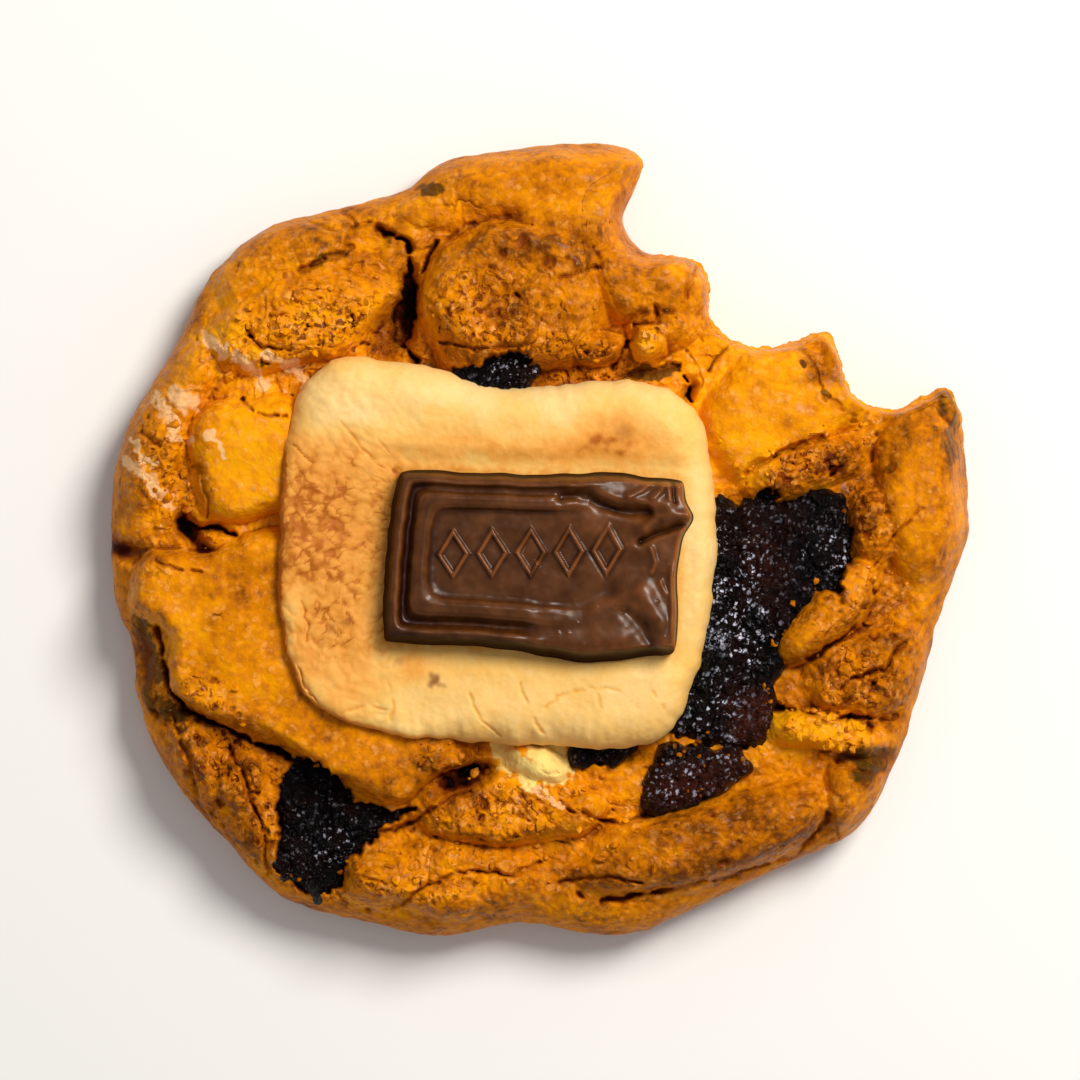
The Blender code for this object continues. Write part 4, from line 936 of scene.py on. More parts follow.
def add(tree, kind, sockets=None, stops=None, **settings):
    """Adds a node. Each socket is linked where a node or one of its outputs is given, and else set.

    A node stands for the first of its outputs that is in use. Stops, as pairs of a place and a
    colour, are for a node with a colour ramp.
    """
    made = tree.nodes.new("ShaderNode" + kind)
    for label, value in settings.items():
        setattr(made, label, value)
    for key, value in (sockets or {}).items():
        if isinstance(value, bpy.types.Node):
            value = next(output for output in value.outputs if output.enabled)
        if isinstance(value, bpy.types.NodeSocket):
            tree.links.new(value, made.inputs[key])
        else:
            made.inputs[key].default_value = value
    if stops:
        ramp = made.color_ramp
        while len(ramp.elements) < len(stops):
            ramp.elements.new(0.5)
        for element, (place, colour) in zip(ramp.elements, stops):
            element.position = place
            element.color = (*colour, 1)
    return made


def new_material(name):
    """An empty material and its node tree."""
    made = bpy.data.materials.new(name)
    made.use_nodes = True
    made.node_tree.nodes.clear()
    return made, made.node_tree


def surfaced(made, sockets):
    """Ends a material in a principled shader, and gives it back."""
    shader = add(made.node_tree, "BsdfPrincipled", sockets)
    add(made.node_tree, "OutputMaterial", {"Surface": shader})
    return made


def readings(tree, *labels):
    """What a piece's mesh says of each place, under each of the labels."""
    return [add(tree, "Attribute", attribute_name=label).outputs["Fac"] for label in labels]


def per_mm(size):
    """A texture scale whose pattern repeats about every size in millimetres on Object coordinates."""
    return 1 / (size * MM)


def maths(tree, operation, *values, **settings):
    """A node that reckons with its values."""
    return add(tree, "Math", dict(enumerate(values)), operation=operation, **settings)


def ranged(tree, value, low, high, to_low=0.0, to_high=1.0):
    """A node that carries a value from one range over to another, and no further than its ends."""
    return add(tree, "MapRange", {
        "Value": value, "From Min": low, "From Max": high, "To Min": to_low, "To Max": to_high,
    })


def laid_over(tree, under, colour, share):
    """A node that lays a colour over another by a share from 0 to 1."""
    under, colour = (
        given if isinstance(given, bpy.types.Node) else (*given, 1) for given in (under, colour)
    )
    return add(tree, "Mix", {0: share, 6: under, 7: colour}, data_type="RGBA")


def clouds(tree, place, size, detail, roughness=0.5, distortion=0.0):
    """A node of noise that repeats about every size in millimetres."""
    return add(tree, "TexNoise", {
        "Vector": place, "Scale": per_mm(size), "Detail": detail, "Roughness": roughness,
        "Distortion": distortion,
    })


def baked_dough(look):
    """Baked cookie dough: a dry crust, a little oily, of fine grain over rounded crumbs.

    It runs from saturated yellow where it is pale to brown where it is baked. Pale grains on it are
    partly grains of the crust and partly painted highlights, and small red brown pores where it has
    torn or bubbled are painted shade.
    """
    made, tree = new_material("baked_cookie_dough")
    place = add(tree, "TexCoord").outputs["Object"]
    baked, hollow, smear, stain_and_shade, open_crumb, ooze, upper = readings(tree, *DOUGH_ATTRIBUTES)
    blotch = clouds(tree, place, 4.0, 5.0, 0.6)
    speckle = clouds(tree, place, 1.1, 3.0, 0.55)
    grain = clouds(tree, place, 0.7, 1.0, 0.5)
    bubble = clouds(tree, place, 0.85, 2.0, 0.5, 0.6)
    # Blotches and grain make the browning uneven, as sugar and butter lie unevenly in the crust
    uneven = maths(tree, "MULTIPLY_ADD", blotch, 1.1, -0.55)
    grainy = maths(tree, "MULTIPLY_ADD", speckle, 1.1, -0.55)
    total = maths(tree, "ADD", uneven, grainy)
    baking = maths(tree, "ADD", baked, total, use_clamp=True)
    crust = add(tree, "ValToRGB", {"Fac": baking}, stops=(
        (0.0, look.pale), (0.22, look.golden), (0.45, look.amber), (0.7, look.brown), (1.0, look.dark),
    ))
    # Pale grains, partly grains of the crust and partly painted highlights, are cells pulled out of
    # round, fewer and paler where the crust is well baked
    pulled = add(tree, "VectorMath", {
        0: grain.outputs["Color"], 1: (1.2 * MM, 1.2 * MM, 1.2 * MM), 2: place,
    }, operation="MULTIPLY_ADD")
    sugar_and_glint = add(tree, "TexVoronoi", {"Vector": pulled, "Scale": per_mm(0.9)})
    picked = add(tree, "SeparateColor", {"Color": sugar_and_glint.outputs["Color"]})
    width = ranged(tree, picked, 0.1, 1.0, 0.0, 0.6)
    within = maths(tree, "SUBTRACT", width, sugar_and_glint)
    faded = ranged(tree, baking, 0.35, 0.9, 1.0, 0.4)
    bright = ranged(tree, within, -0.12, 0.34, 0.0, faded)
    spread = ranged(tree, speckle, 0.38, 0.62, 0.28, 0.8)
    crumbed = maths(tree, "MULTIPLY_ADD", open_crumb, 0.35, spread)
    # Painted highlight: the pale grains are laid on more strongly where the surface faces up
    upward_highlight = maths(tree, "MULTIPLY_ADD", upper, 0.7, 0.3)
    bare = maths(tree, "MULTIPLY", bright, upward_highlight)
    sugar_and_glint_share = maths(tree, "MULTIPLY", bare, crumbed)
    sugar_and_glint_laid = laid_over(tree, crust, look.sugar_and_glint, sugar_and_glint_share)
    # Painted shade in small bubbles, red brown where the crumb is open
    bubbles = ranged(tree, bubble, 0.46, 0.38)
    opened = maths(tree, "MULTIPLY", bubbles, open_crumb)
    pocked = laid_over(tree, sugar_and_glint_laid, look.pit_shade, opened)
    # Olive, partly real staining and partly painted shade, painted shade in cracks, holes, pores and
    # creases, and smears and melted marshmallow lie over that, with grainy borders
    frayed = maths(tree, "ADD", grainy, stain_and_shade)
    stain_and_shade_share = ranged(tree, frayed, 0.25, 0.8, 0.0, 0.85)
    stained_and_shaded = laid_over(tree, pocked, look.olive, stain_and_shade_share)
    # Painted shade in hollows: red brown where shallow, and a near black painted shadow in deep holes
    shadow = add(tree, "ValToRGB", {"Fac": hollow}, stops=((0.45, look.pit_shade), (0.95, look.depth)))
    sunk = ranged(tree, hollow, 0.05, 0.7)
    deep = laid_over(tree, stained_and_shaded, shadow, sunk)
    patchy = maths(tree, "MULTIPLY", speckle, smear)
    film = ranged(tree, patchy, 0.14, 0.38, 0.0, 0.88)
    filmed = laid_over(tree, deep, look.cream, film)
    melted = maths(tree, "ADD", grainy, ooze)
    run = ranged(tree, melted, 0.25, 0.5, 0.0, 0.95)
    coated = laid_over(tree, filmed, look.ooze, run)
    gloss = ranged(tree, speckle, 0.35, 0.65, 0.45, 0.22)
    # Sugar stands proud and bubbles are dents, on a surface that is faintly uneven all over
    raised = maths(tree, "MULTIPLY_ADD", bright, 0.3, grain)
    dents = maths(tree, "MULTIPLY_ADD", opened, -0.8, raised)
    coarse = ranged(tree, open_crumb, 0.0, 1.0, 0.65, 1.0)
    fine = add(tree, "Bump", {"Height": dents, "Distance": 0.2 * MM, "Strength": coarse})
    broad = add(tree, "Bump", {"Height": speckle, "Distance": 0.5 * MM, "Strength": 0.38, "Normal": fine})
    # A film of butter gives soft highlights on the upper side, and less of them on dark crust
    butter = ranged(tree, speckle, 0.46, 0.62, 0.0, 0.34)
    oily = maths(tree, "MULTIPLY", butter, faded)
    oiled = maths(tree, "MULTIPLY", oily, upper)
    return surfaced(made, {
        "Base Color": coated, "Roughness": gloss, "Normal": broad, "IOR": 1.45, "Specular IOR Level": 0.03,
        "Subsurface Weight": 0.12, "Subsurface Scale": 1.4 * MM, "Subsurface Radius": (1.0, 0.5, 0.2),
        "Coat Weight": oiled, "Coat Roughness": 0.3,
    })


def toasted_marshmallow(look):
    """Marshmallow skin: whipped sugar, dry and matte, toasted from cream to orange brown.

    Light soaks in a little, so its edges glow, and its skin has fine pores and short wrinkles.
    """
    made, tree = new_material("toasted_marshmallow_skin")
    place = add(tree, "TexCoord").outputs["Object"]
    toast, scorch = readings(tree, "toast", "scorch")
    blotch = clouds(tree, place, 5.0, 6.0, 0.6)
    skin = clouds(tree, place, 0.6, 4.0, 0.65)
    pores = add(tree, "TexVoronoi", {"Vector": place, "Scale": per_mm(0.8)})
    uneven = maths(tree, "MULTIPLY_ADD", blotch, 0.3, -0.15)
    grain = maths(tree, "MULTIPLY_ADD", skin, 0.24, -0.12)
    both = maths(tree, "ADD", uneven, grain)
    toasting = maths(tree, "ADD", toast, both, use_clamp=True)
    colour = add(tree, "ValToRGB", {"Fac": toasting}, stops=(
        (0.0, look.cream), (0.3, look.straw), (0.6, look.toast), (0.85, look.tan), (1.0, look.deep),
    ))
    burnt = laid_over(tree, colour, look.burnt, scorch)
    height = maths(tree, "ADD", skin, pores)
    bump = add(tree, "Bump", {"Height": height, "Distance": 0.08 * MM, "Strength": 0.6})
    return surfaced(made, {
        "Base Color": burnt, "Roughness": 0.62, "Normal": bump, "IOR": 1.4, "Specular IOR Level": 0.35,
        "Subsurface Weight": 0.25, "Subsurface Scale": 2.0 * MM, "Subsurface Radius": (1.0, 0.6, 0.3),
    })


def milk_chocolate(look):
    """Milk chocolate that has softened: a satin brown with broad soft highlights and faint grain."""
    made, tree = new_material("softened_milk_chocolate")
    place = add(tree, "TexCoord").outputs["Object"]
    painted_light, upper = readings(tree, "painted_light", "upper")
    cloud = clouds(tree, place, 2.5, 4.0)
    grain = clouds(tree, place, 0.45, 3.0)
    # Painted light: painted highlights on ridges in the paler brown, painted shade in grooves and on the
    # sides in the darkest brown
    tone = maths(tree, "MULTIPLY_ADD", cloud, 0.6, painted_light)
    colour = add(tree, "ValToRGB", {"Fac": tone}, stops=(
        (0.0, look.shade), (0.3, look.milk), (0.85, look.bloom_and_highlight),
    ))
    gloss = ranged(tree, cloud, 0.3, 0.7, 0.34, 0.62)
    butter = maths(tree, "MULTIPLY", upper, gloss)
    bump = add(tree, "Bump", {"Height": grain, "Distance": 0.06 * MM, "Strength": 0.5})
    return surfaced(made, {
        "Base Color": colour, "Roughness": 0.5, "Normal": bump, "Specular IOR Level": 0.02,
        "Coat Weight": butter, "Coat Roughness": 0.3, "Coat IOR": 1.5,
    })


def dark_chocolate(look):
    """Broken dark chocolate: nearly black and wet looking, browner where it has crumbled.

    Sharp glints come from its gloss, and pale dots in clusters on it are painted glints. A pale
    powder lies where it has whitened.
    """
    made, tree = new_material("broken_dark_chocolate")
    place = add(tree, "TexCoord").outputs["Object"]
    crumbly, whitened, sparkling = readings(tree, *CHUNK_ATTRIBUTES)
    grain = clouds(tree, place, 0.5, 3.0, 0.7)
    pulled = add(tree, "VectorMath", {
        0: grain.outputs["Color"], 1: (1.1 * MM, 1.1 * MM, 1.1 * MM), 2: place,
    }, operation="MULTIPLY_ADD")
    crystal = add(tree, "TexVoronoi", {"Vector": pulled, "Scale": per_mm(0.52)})
    cloud = clouds(tree, place, 4.2, 4.0, 0.6)
    patchy = ranged(tree, cloud, 0.42, 0.66, 0.0, 0.16)
    brown = maths(tree, "MULTIPLY_ADD", crumbly, grain, patchy, use_clamp=True)
    base = laid_over(tree, look.black, look.umber, brown)
    # Painted glints: a crystal shows as a pale dot, in clusters
    picked = add(tree, "SeparateColor", {"Color": crystal.outputs["Color"]})
    width = ranged(tree, picked, 0.25, 1.0, 0.0, 0.6)
    dot = maths(tree, "SUBTRACT", width, crystal)
    glint_dots = ranged(tree, dot, 0.0, 0.2)
    cluster = ranged(tree, cloud, 0.4, 0.55, 0.1, 1.0)
    gathered = maths(tree, "MULTIPLY", cluster, sparkling)
    bloom_and_highlight = maths(tree, "MULTIPLY", glint_dots, gathered)
    powder = ranged(tree, grain, 0.5, 0.68)
    whitened_and_glint = maths(tree, "MULTIPLY_ADD", whitened, powder, bloom_and_highlight, use_clamp=True)
    colour = laid_over(tree, base, look.bloom_and_highlight, whitened_and_glint)
    relief = maths(tree, "ADD", crystal, grain)
    bump = add(tree, "Bump", {"Height": relief, "Distance": 0.28 * MM, "Strength": 1.0})
    return surfaced(made, {
        "Base Color": colour, "Roughness": 0.12, "Normal": bump, "IOR": 1.5, "Specular IOR Level": 0.12,
    })


def studio_paper():
    """Matte white paper under the cookie, so its colours show against a plain ground."""
    made, _ = new_material("studio_paper")
    return surfaced(made, {"Base Color": (*[PAPER_WHITE] * 3, 1), "Roughness": 0.9})


def dough_rows(want):
    """The dough's surface as rows of points, with their outward directions and kinds of crust.

    Rows run from the floor of the marshmallow's hollow up its wall, over the crust to a rounded
    shoulder, down a quarter ellipse to the widest line, in along another to the foot, and under.
    The kinds are how rough, how much painted shade its hollows get, how far down the side and how
    near the bite.
    """
    n = want.steps_round
    edge = evenly_spaced(closed_spline(COOKIE_EDGE), n)
    off_mouth = np.linalg.norm(edge - MOUTH_CENTRE, axis=1)
    bitten = 1 - smoothstep(MOUTH_RADIUS - MOUTH_FADE, MOUTH_RADIUS + MOUTH_FADE, off_mouth)
    rounding = CRUST_ROUND + (BITE_ROUND - CRUST_ROUND) * bitten
    out = outward(softened(edge, 1.2))
    shoulder = softened(edge, 0.8) - outward(softened(edge, 2.2)) * rounding[:, None]
    recess = recess_curve(720)
    middle = recess.mean(axis=0)
    turn = np.unwrap(np.arctan2(*(softened(edge, RING_SMOOTHING) - middle).T[::-1]))
    recess_turn = np.arctan2(*(recess - middle).T[::-1]) % (2 * np.pi)
    order = np.argsort(recess_turn)
    recess_reach = np.linalg.norm(recess - middle, axis=1)[order]
    reach = np.interp(turn, recess_turn[order], recess_reach, period=2 * np.pi)
    inner = middle + reach[:, None] * np.stack([np.cos(turn), np.sin(turn)], axis=1)

    share = 1 - (1 - np.linspace(0, 1, want.steps_over)) ** 1.15
    flats = [(1 - s) * inner + s * softened(shoulder, RING_SMOOTHING * (1 - s)) for s in share]
    up = np.ones((len(flats), 1))
    for angle in np.linspace(np.pi / 2, 0, want.steps_down)[1:]:
        flats.append(edge + (shoulder - edge) * (1 - np.cos(angle)))
        up = np.vstack([up, [[np.sin(angle)]]])
    flats = np.array(flats)
    x, y = flats[..., 0], flats[..., 1]
    height, rough, hollow = dough_form(x, y, want.dough_height)
    height = WIDEST_Z + (height - WIDEST_Z) * up
    side = np.sqrt(1 - up**2)
    facing = np.dstack([out * side[..., None], np.broadcast_to(up, height.shape)])

    foot, foot_facing = [], []
    inset = FOOT_INSET * (1 - (1 - BITE_FOOT) * bitten)[:, None]
    for angle in np.linspace(0, np.pi / 2, want.steps_foot)[1:]:
        flat = softened(edge, 0.6 * np.sin(angle)) - out * inset * (1 - np.cos(angle))
        foot.append(np.column_stack([flat, np.full(n, WIDEST_Z * (1 - np.sin(angle)))]))
        foot_facing.append(np.column_stack([out * np.cos(angle), np.full(n, -np.sin(angle))]))
    foot.append(np.column_stack([foot[-1][:, :2] - out * RIM_WIDTH, np.zeros(n)]))
    foot_facing.append(np.tile((0.0, 0.0, -1.0), (n, 1)))

    climb = height[0] - RECESS_FLOOR
    wall = [np.column_stack([flats[0], RECESS_FLOOR + s * climb]) for s in WALL_SHARES]
    rows = np.concatenate([wall, np.dstack([flats, height]), foot])
    facing = np.concatenate([np.zeros((len(wall), n, 3)), facing, foot_facing])
    rough, hollow = (
        np.vstack([np.tile(top[0], (len(wall), 1)), top, np.tile(low, (len(foot), 1))])
        for top, low in ((rough, rough[-1]), (hollow, 0 * hollow[-1]))
    )
    side = np.concatenate([np.zeros(len(wall)), side[:, 0], np.ones(len(foot) - 1), [0.0]])
    return rows, facing, rough, hollow, side[:, None] * np.ones(n), bitten


def in_zones(x, y, zones):
    """The greatest of the zones' values at each place, each fading out past its oval's edge."""
    total = np.zeros(x.shape)
    for zone in zones:
        total = np.maximum(total, zone.value * np.exp(-1.2 * out_of_oval(x, y, zone) ** 3))
    return total


def in_streaks(x, y, streaks, core):
    """How far each place is in any streak: 1 in its core, and fading out past half its width."""
    total = np.zeros(x.shape)
    for streak in streaks:
        near = distance_to_line(x, y, streak.points) / streak.half_width
        total = np.maximum(total, smoothstep(1.5, core, near))
    return total


def browning(rows, side, bitten, torn, under):
    """How far the dough is baked brown, and how much painted shade its creases get.

    Browning is a mean of the areas' values, weighed by a bell of the distance out of each, plus a
    bell for each browner area. What stands above its neighbours browns more, and what lies low in a
    valley is painted browner as painted shade. The side, the torn face and the underside each have
    a value of their own.
    """
    x, y, z = rows[..., 0], rows[..., 1], rows[..., 2]
    weight = np.full(x.shape, 0.02)
    total = 0.55 * weight
    wx, wy = carried(x, y, BROWNING_WAVES, 91)
    for zone in BAKED_ZONES:
        near = np.exp(-1.6 * out_of_oval(wx, wy, zone) ** 2)
        total += near * zone.value
        weight += near
    baked = total / weight
    for zone in BROWNED_ZONES:
        baked += zone.value * np.exp(-1.2 * out_of_oval(wx, wy, zone) ** 3)
    standing = z - blurred(z, 50)
    baked = baked + 0.2 * np.clip(standing, -0.6, 0.8) + 0.22 * noise_in_space(rows, 2.2, 95)
    # Painted shade: dough that lies low in a valley is made browner
    baked = baked + 0.5 * np.clip(-standing - 0.3, 0, 1)
    # Painted shade in creases, and none on pale dough
    crease_shade = np.clip((blurred(z, 7) - z) * 1.2 - 0.06, 0, 0.28)
    crease_shade = crease_shade + np.clip(-standing * 0.7 - 0.2, 0, 0.36)
    crease_shade = crease_shade * smoothstep(-0.4, 0.25, baked)
    side_baked = 0.62 + 0.25 * smoothstep(3.5, 0.5, z) + 0.25 * noise_in_space(rows, 6.0, 96)
    baked = baked + (side_baked - baked) * smoothstep(0.55, 0.95, side) * (1 - bitten)
    crumb_inside = 0.22 + 0.3 * noise_in_space(rows, 3.0, 97) + 0.5 * smoothstep(1.6, 0.3, z)
    baked = baked + (crumb_inside - baked) * torn
    baked = baked + (0.78 + 0.25 * noise_in_space(rows, 8.0, 98) - baked) * under
    return baked, crease_shade


def stains_and_shade(x, y):
    """How much olive lies on the dough at each place, as real staining and painted shade, by the
    areas' values and with ragged borders.
    """
    stain_and_shade = np.zeros(x.shape)
    wx, wy = carried(x, y, BROWNING_WAVES, 91)
    ragged = waves(x, y, STAIN_AND_SHADE_WAVES, 101)
    for zone in STAINED_AND_SHADED_ZONES:
        stain_and_shade = np.maximum(stain_and_shade, zone.value * smoothstep(1.15, 0.7, out_of_oval(wx, wy, zone) + ragged))
    return stain_and_shade


def make_dough(want):
    """The dough's rows moved outwards by the crumb relief, with what its material reads from them."""
    rows, facing, rough, hollow, side, bitten = dough_rows(want)
    torn = bitten * smoothstep(0.3, 0.9, side)
    steep = steepness(rows) * (1 - side)
    rough = (rough + (1.0 - rough) * torn) * (1 - 0.5 * (1 - bitten) * side)
    porous = in_zones(rows[..., 0], rows[..., 1], POROUS_ZONES) * (1 - smoothstep(0.6, 0.95, side))
    porous = np.maximum(porous, 0.45 * torn) * (1 - 0.85 * steep)
    relief, pores = crumb_relief(rows, np.maximum(rough, porous) * (1 - 0.5 * steep), porous)
    relief += torn * (0.5 * noise_in_space(rows, 1.7, 87) + 0.3 * noise_in_space(rows, 0.8, 88) - 0.1)
    settled = smoothstep(0.0, 1.2, rows[..., 2]) * (1 - 0.4 * steep)
    rows = rows + facing * (relief * settled)[..., None]
    x, y = rows[..., 0], rows[..., 1]

    level = facing[..., 2]
    baked, crease_shade = browning(rows, side, bitten, torn, (level < -0.9) * 1.0)
    # Olive, partly real staining and partly painted shade
    stain_and_shade = stains_and_shade(x, y)
    sx, sy = carried(x, y, SMEAR_WAVES, 103)
    smear, ooze = in_streaks(sx, sy, SMEARS, 0.3), in_streaks(sx, sy, OOZES, 0.4)
    top = smoothstep(0.35, 0.75, level)
    # Painted shade in cracks, holes, pits, pores, seams and creases, which the material reads as hollow
    dark = np.clip(np.maximum(hollow, 0.5 * pores) + 0.7 * crease_shade * smoothstep(0.4, 0.1, side), 0, 1)
    values = (
        np.clip(baked, 0, 1), dark, smear * top, stain_and_shade * smoothstep(0.05, 0.9, level),
        np.clip(porous * (1 - 0.65 * torn), 0, 1), ooze * top,
        smoothstep(0.5, 0.95, level) * (1 - 0.9 * stain_and_shade) * (1 - 0.8 * smear) * (1 - dark),
    )
    joins = len(WALL_SHARES) + want.steps_over // 2, len(WALL_SHARES) + want.steps_over - 1
    names = "dough_middle", "dough_crust", "dough_side"
    return make_bands(names, joins, rows, baked_dough(want), list(zip(DOUGH_ATTRIBUTES, values)))


def marshmallow_height(want, x, y, from_edge):
    """The marshmallow's height over each place, and the painted shade in its splits, in the seams
    between its cobbles and along its flat left edge.

    A quarter ellipse runs up to a puffed top, pressed down where the chocolate sits. The front edge
    has short wrinkles, and the toasted left has cobbles, one less the squared distance to the
    nearest random point.
    """
    level = smoothstep(-4, -16, x) * smoothstep(15, 6, y)
    over = np.sqrt(1 - (1 - np.clip(from_edge / (want.rounding * (1 - 0.66 * level)), 0, 1)) ** 2)
    shoulder = want.shoulder + 2.6 * level
    top = want.top + waves(x, y, PUFF_WAVES, 21) + waves(x, y, SKIN_WAVES, 203)
    seat = depth_inside(x, y, np.array(CHOCOLATE_CORNERS))
    pressed = smoothstep(-3.0, -0.6, seat)
    top = top + (want.top - 0.55 - top) * pressed
    height = shoulder + (top - shoulder) * over
    rim = smoothstep(5.0, 0.6, from_edge)
    frontward = smoothstep(-13, -20, y) + 0.4 * smoothstep(14, 18, x)
    wrinkle = 0.5 * noise(x, y * 0.3, 2.1, 204) + 0.2 * noise(x, y * 0.5, 0.9, 205)
    height = height + rim * frontward * wrinkle + 0.08 * rim * noise(x, y, 1.6, 207)
    skin = waves(x, y, FINE_SKIN_WAVES, 208)
    puckered = np.abs(noise(x * 0.8 + y * 0.5, y * 0.8 - x * 0.3, 1.5, 210))
    height = height + skin + 0.3 * puckered * smoothstep(-8, -20, x)

    cobbled = smoothstep(-14, -18, x) * smoothstep(13, 8, y) * smoothstep(-18, -12, y)
    cobbled *= 0.3 + 0.7 * smoothstep(-0.3, 0.2, noise(x, y, 3.2, 234))
    ux, uy = carried(x, y, COBBLE_WAVES, 231)
    near, after, _ = pebbles(np.dstack([0.75 * ux + 0.45 * uy, uy - 0.35 * ux, 0 * x]), 1.25, 236)
    wrinkled = cobbled * (1 - smoothstep(0.0, 0.22, after - near))
    height += 0.16 * cobbled * (0.4 - near**2) - 0.1 * wrinkled
    split = np.zeros(x.shape)
    bx, by = carried(x, y, SKIN_CRACK_WAVES, 221)
    for crack in SKIN_CRACKS:
        near = distance_to_line(bx, by, crack.points)
        cut = 1 - smoothstep(0.02, 0.16 + 0.16 * crack.width, near)
        cut *= smoothstep(-0.45, 0.05, noise(x, y, 1.8, 225))
        height -= 0.7 * crack.depth * cut
        split = np.maximum(split, cut)
    return height, 0.3 * split + 0.2 * wrinkled + 0.5 * level * smoothstep(0.7, 0.1, from_edge)


def toasting(x, y):
    """How toasted the marshmallow is, from area to area by a bell of the distance out of each."""
    toast = np.full(x.shape, 0.3)
    tx, ty = carried(x, y, TOASTING_WAVES, 211)
    for zone in TOASTED_ZONES:
        toast = toast + (zone.value - toast) * np.exp(-1.1 * out_of_oval(tx, ty, zone) ** 2.6)
    return toast + waves(x, y, TOAST_SPECKS, 215) * (0.2 + 1.2 * toast)


def scorching(x, y):
    """How scorched the marshmallow is: the most of its small burnt spots at each place."""
    scorch = np.zeros(x.shape)
    sx, sy = x + 0.6 * noise(x, y, 0.9, 217), y + 0.6 * noise(x, y, 0.9, 218)
    for px, py, radius, amount in SCORCHES:
        scorch = np.maximum(scorch, amount * smoothstep(1.3, 0.3, np.hypot(sx - px, sy - py) / radius))
    return scorch


def make_marshmallow(want):
    """The marshmallow: its outline drawn in ring by ring to the top, and down a short side."""
    n = want.steps_round
    edge = recess_curve(n)
    out = outward(softened(edge, 1.0))
    ragged = waves(*edge.T, PUFFED_EDGE_WAVES, 201)
    slack = 0.2 + 0.25 * smoothstep(-10, -20, edge[:, 0]) * smoothstep(-6, -14, edge[:, 1])
    slack = slack + 0.25 * smoothstep(10, 18, edge[:, 0])
    edge = edge + out * (ragged + slack)[:, None]
    middle = edge.mean(axis=0)
    shares = 1 - (1 - np.linspace(0.03, 1, want.steps_over)) ** 1.5
    flats = np.array([middle + s * (softened(edge, 7 * (1 - s)) - middle) for s in shares])
    x, y = flats[..., 0], flats[..., 1]
    from_edge = distance_to_line(x, y, np.vstack([edge, edge[:1]])[::4])
    from_edge[-1] = 0
    height, skin_crease_shade = marshmallow_height(want, x, y, from_edge)
    rows = [np.dstack([flats, height])]
    low = rows[0][-1]
    for s in MARSHMALLOW_SIDE:
        ring = low.copy()
        ring[:, 2] = low[:, 2] + s * (RECESS_FLOOR + MARSHMALLOW_LIFT - low[:, 2])
        ring[:, :2] -= out * MARSHMALLOW_TAPER * s
        rows.append(ring[None])
    rows = np.concatenate(rows)
    x, y = rows[..., 0], rows[..., 1]

    toast = toasting(x, y)
    # Painted shade in the splits, the seams between cobbles and along the flat left edge, laid into the
    # toast
    toast[: skin_crease_shade.shape[0]] += skin_crease_shade
    # Painted shade round the chocolate's foot, weaker towards the right, partly a stain of melted
    # chocolate, laid into the toast
    stained_and_shaded = depth_inside(x, y, np.array(CHOCOLATE_CORNERS)) + waves(x, y, MELTED_EDGE_WAVES, 219)
    toast += (0.42 - 0.2 * smoothstep(8, 15, x)) * smoothstep(-0.8, 0.2, stained_and_shaded)
    return make_piece("marshmallow_skin", rows, toasted_marshmallow(want), (
        ("toast", np.clip(toast, 0, 1)), ("scorch", scorching(x, y)),
    ))


def square_rings(want):
    """Places along and across a unit square, in rings of slightly rounded corners about its middle."""
    side = np.linspace(0, 1, want.steps_round // 4, endpoint=False)
    zero, one = np.zeros_like(side), np.ones_like(side)
    round_it = (side, zero), (one, side), (1 - side, one), (zero, 1 - side)
    square = np.concatenate([np.stack(pair, 1) for pair in round_it])
    shares = 1 - (1 - np.linspace(0.02, 1, want.steps_over)) ** 1.25
    uv = 0.5 + shares[:, None, None] * (square[None] - 0.5)
    off_corner = np.abs(np.abs(square - 0.5) - 0.5).sum(axis=1)
    uv = 0.5 + (uv - 0.5) * (1 - 0.03 * np.exp(-off_corner / 0.04))[None, :, None]
    return uv[..., 0], uv[..., 1]


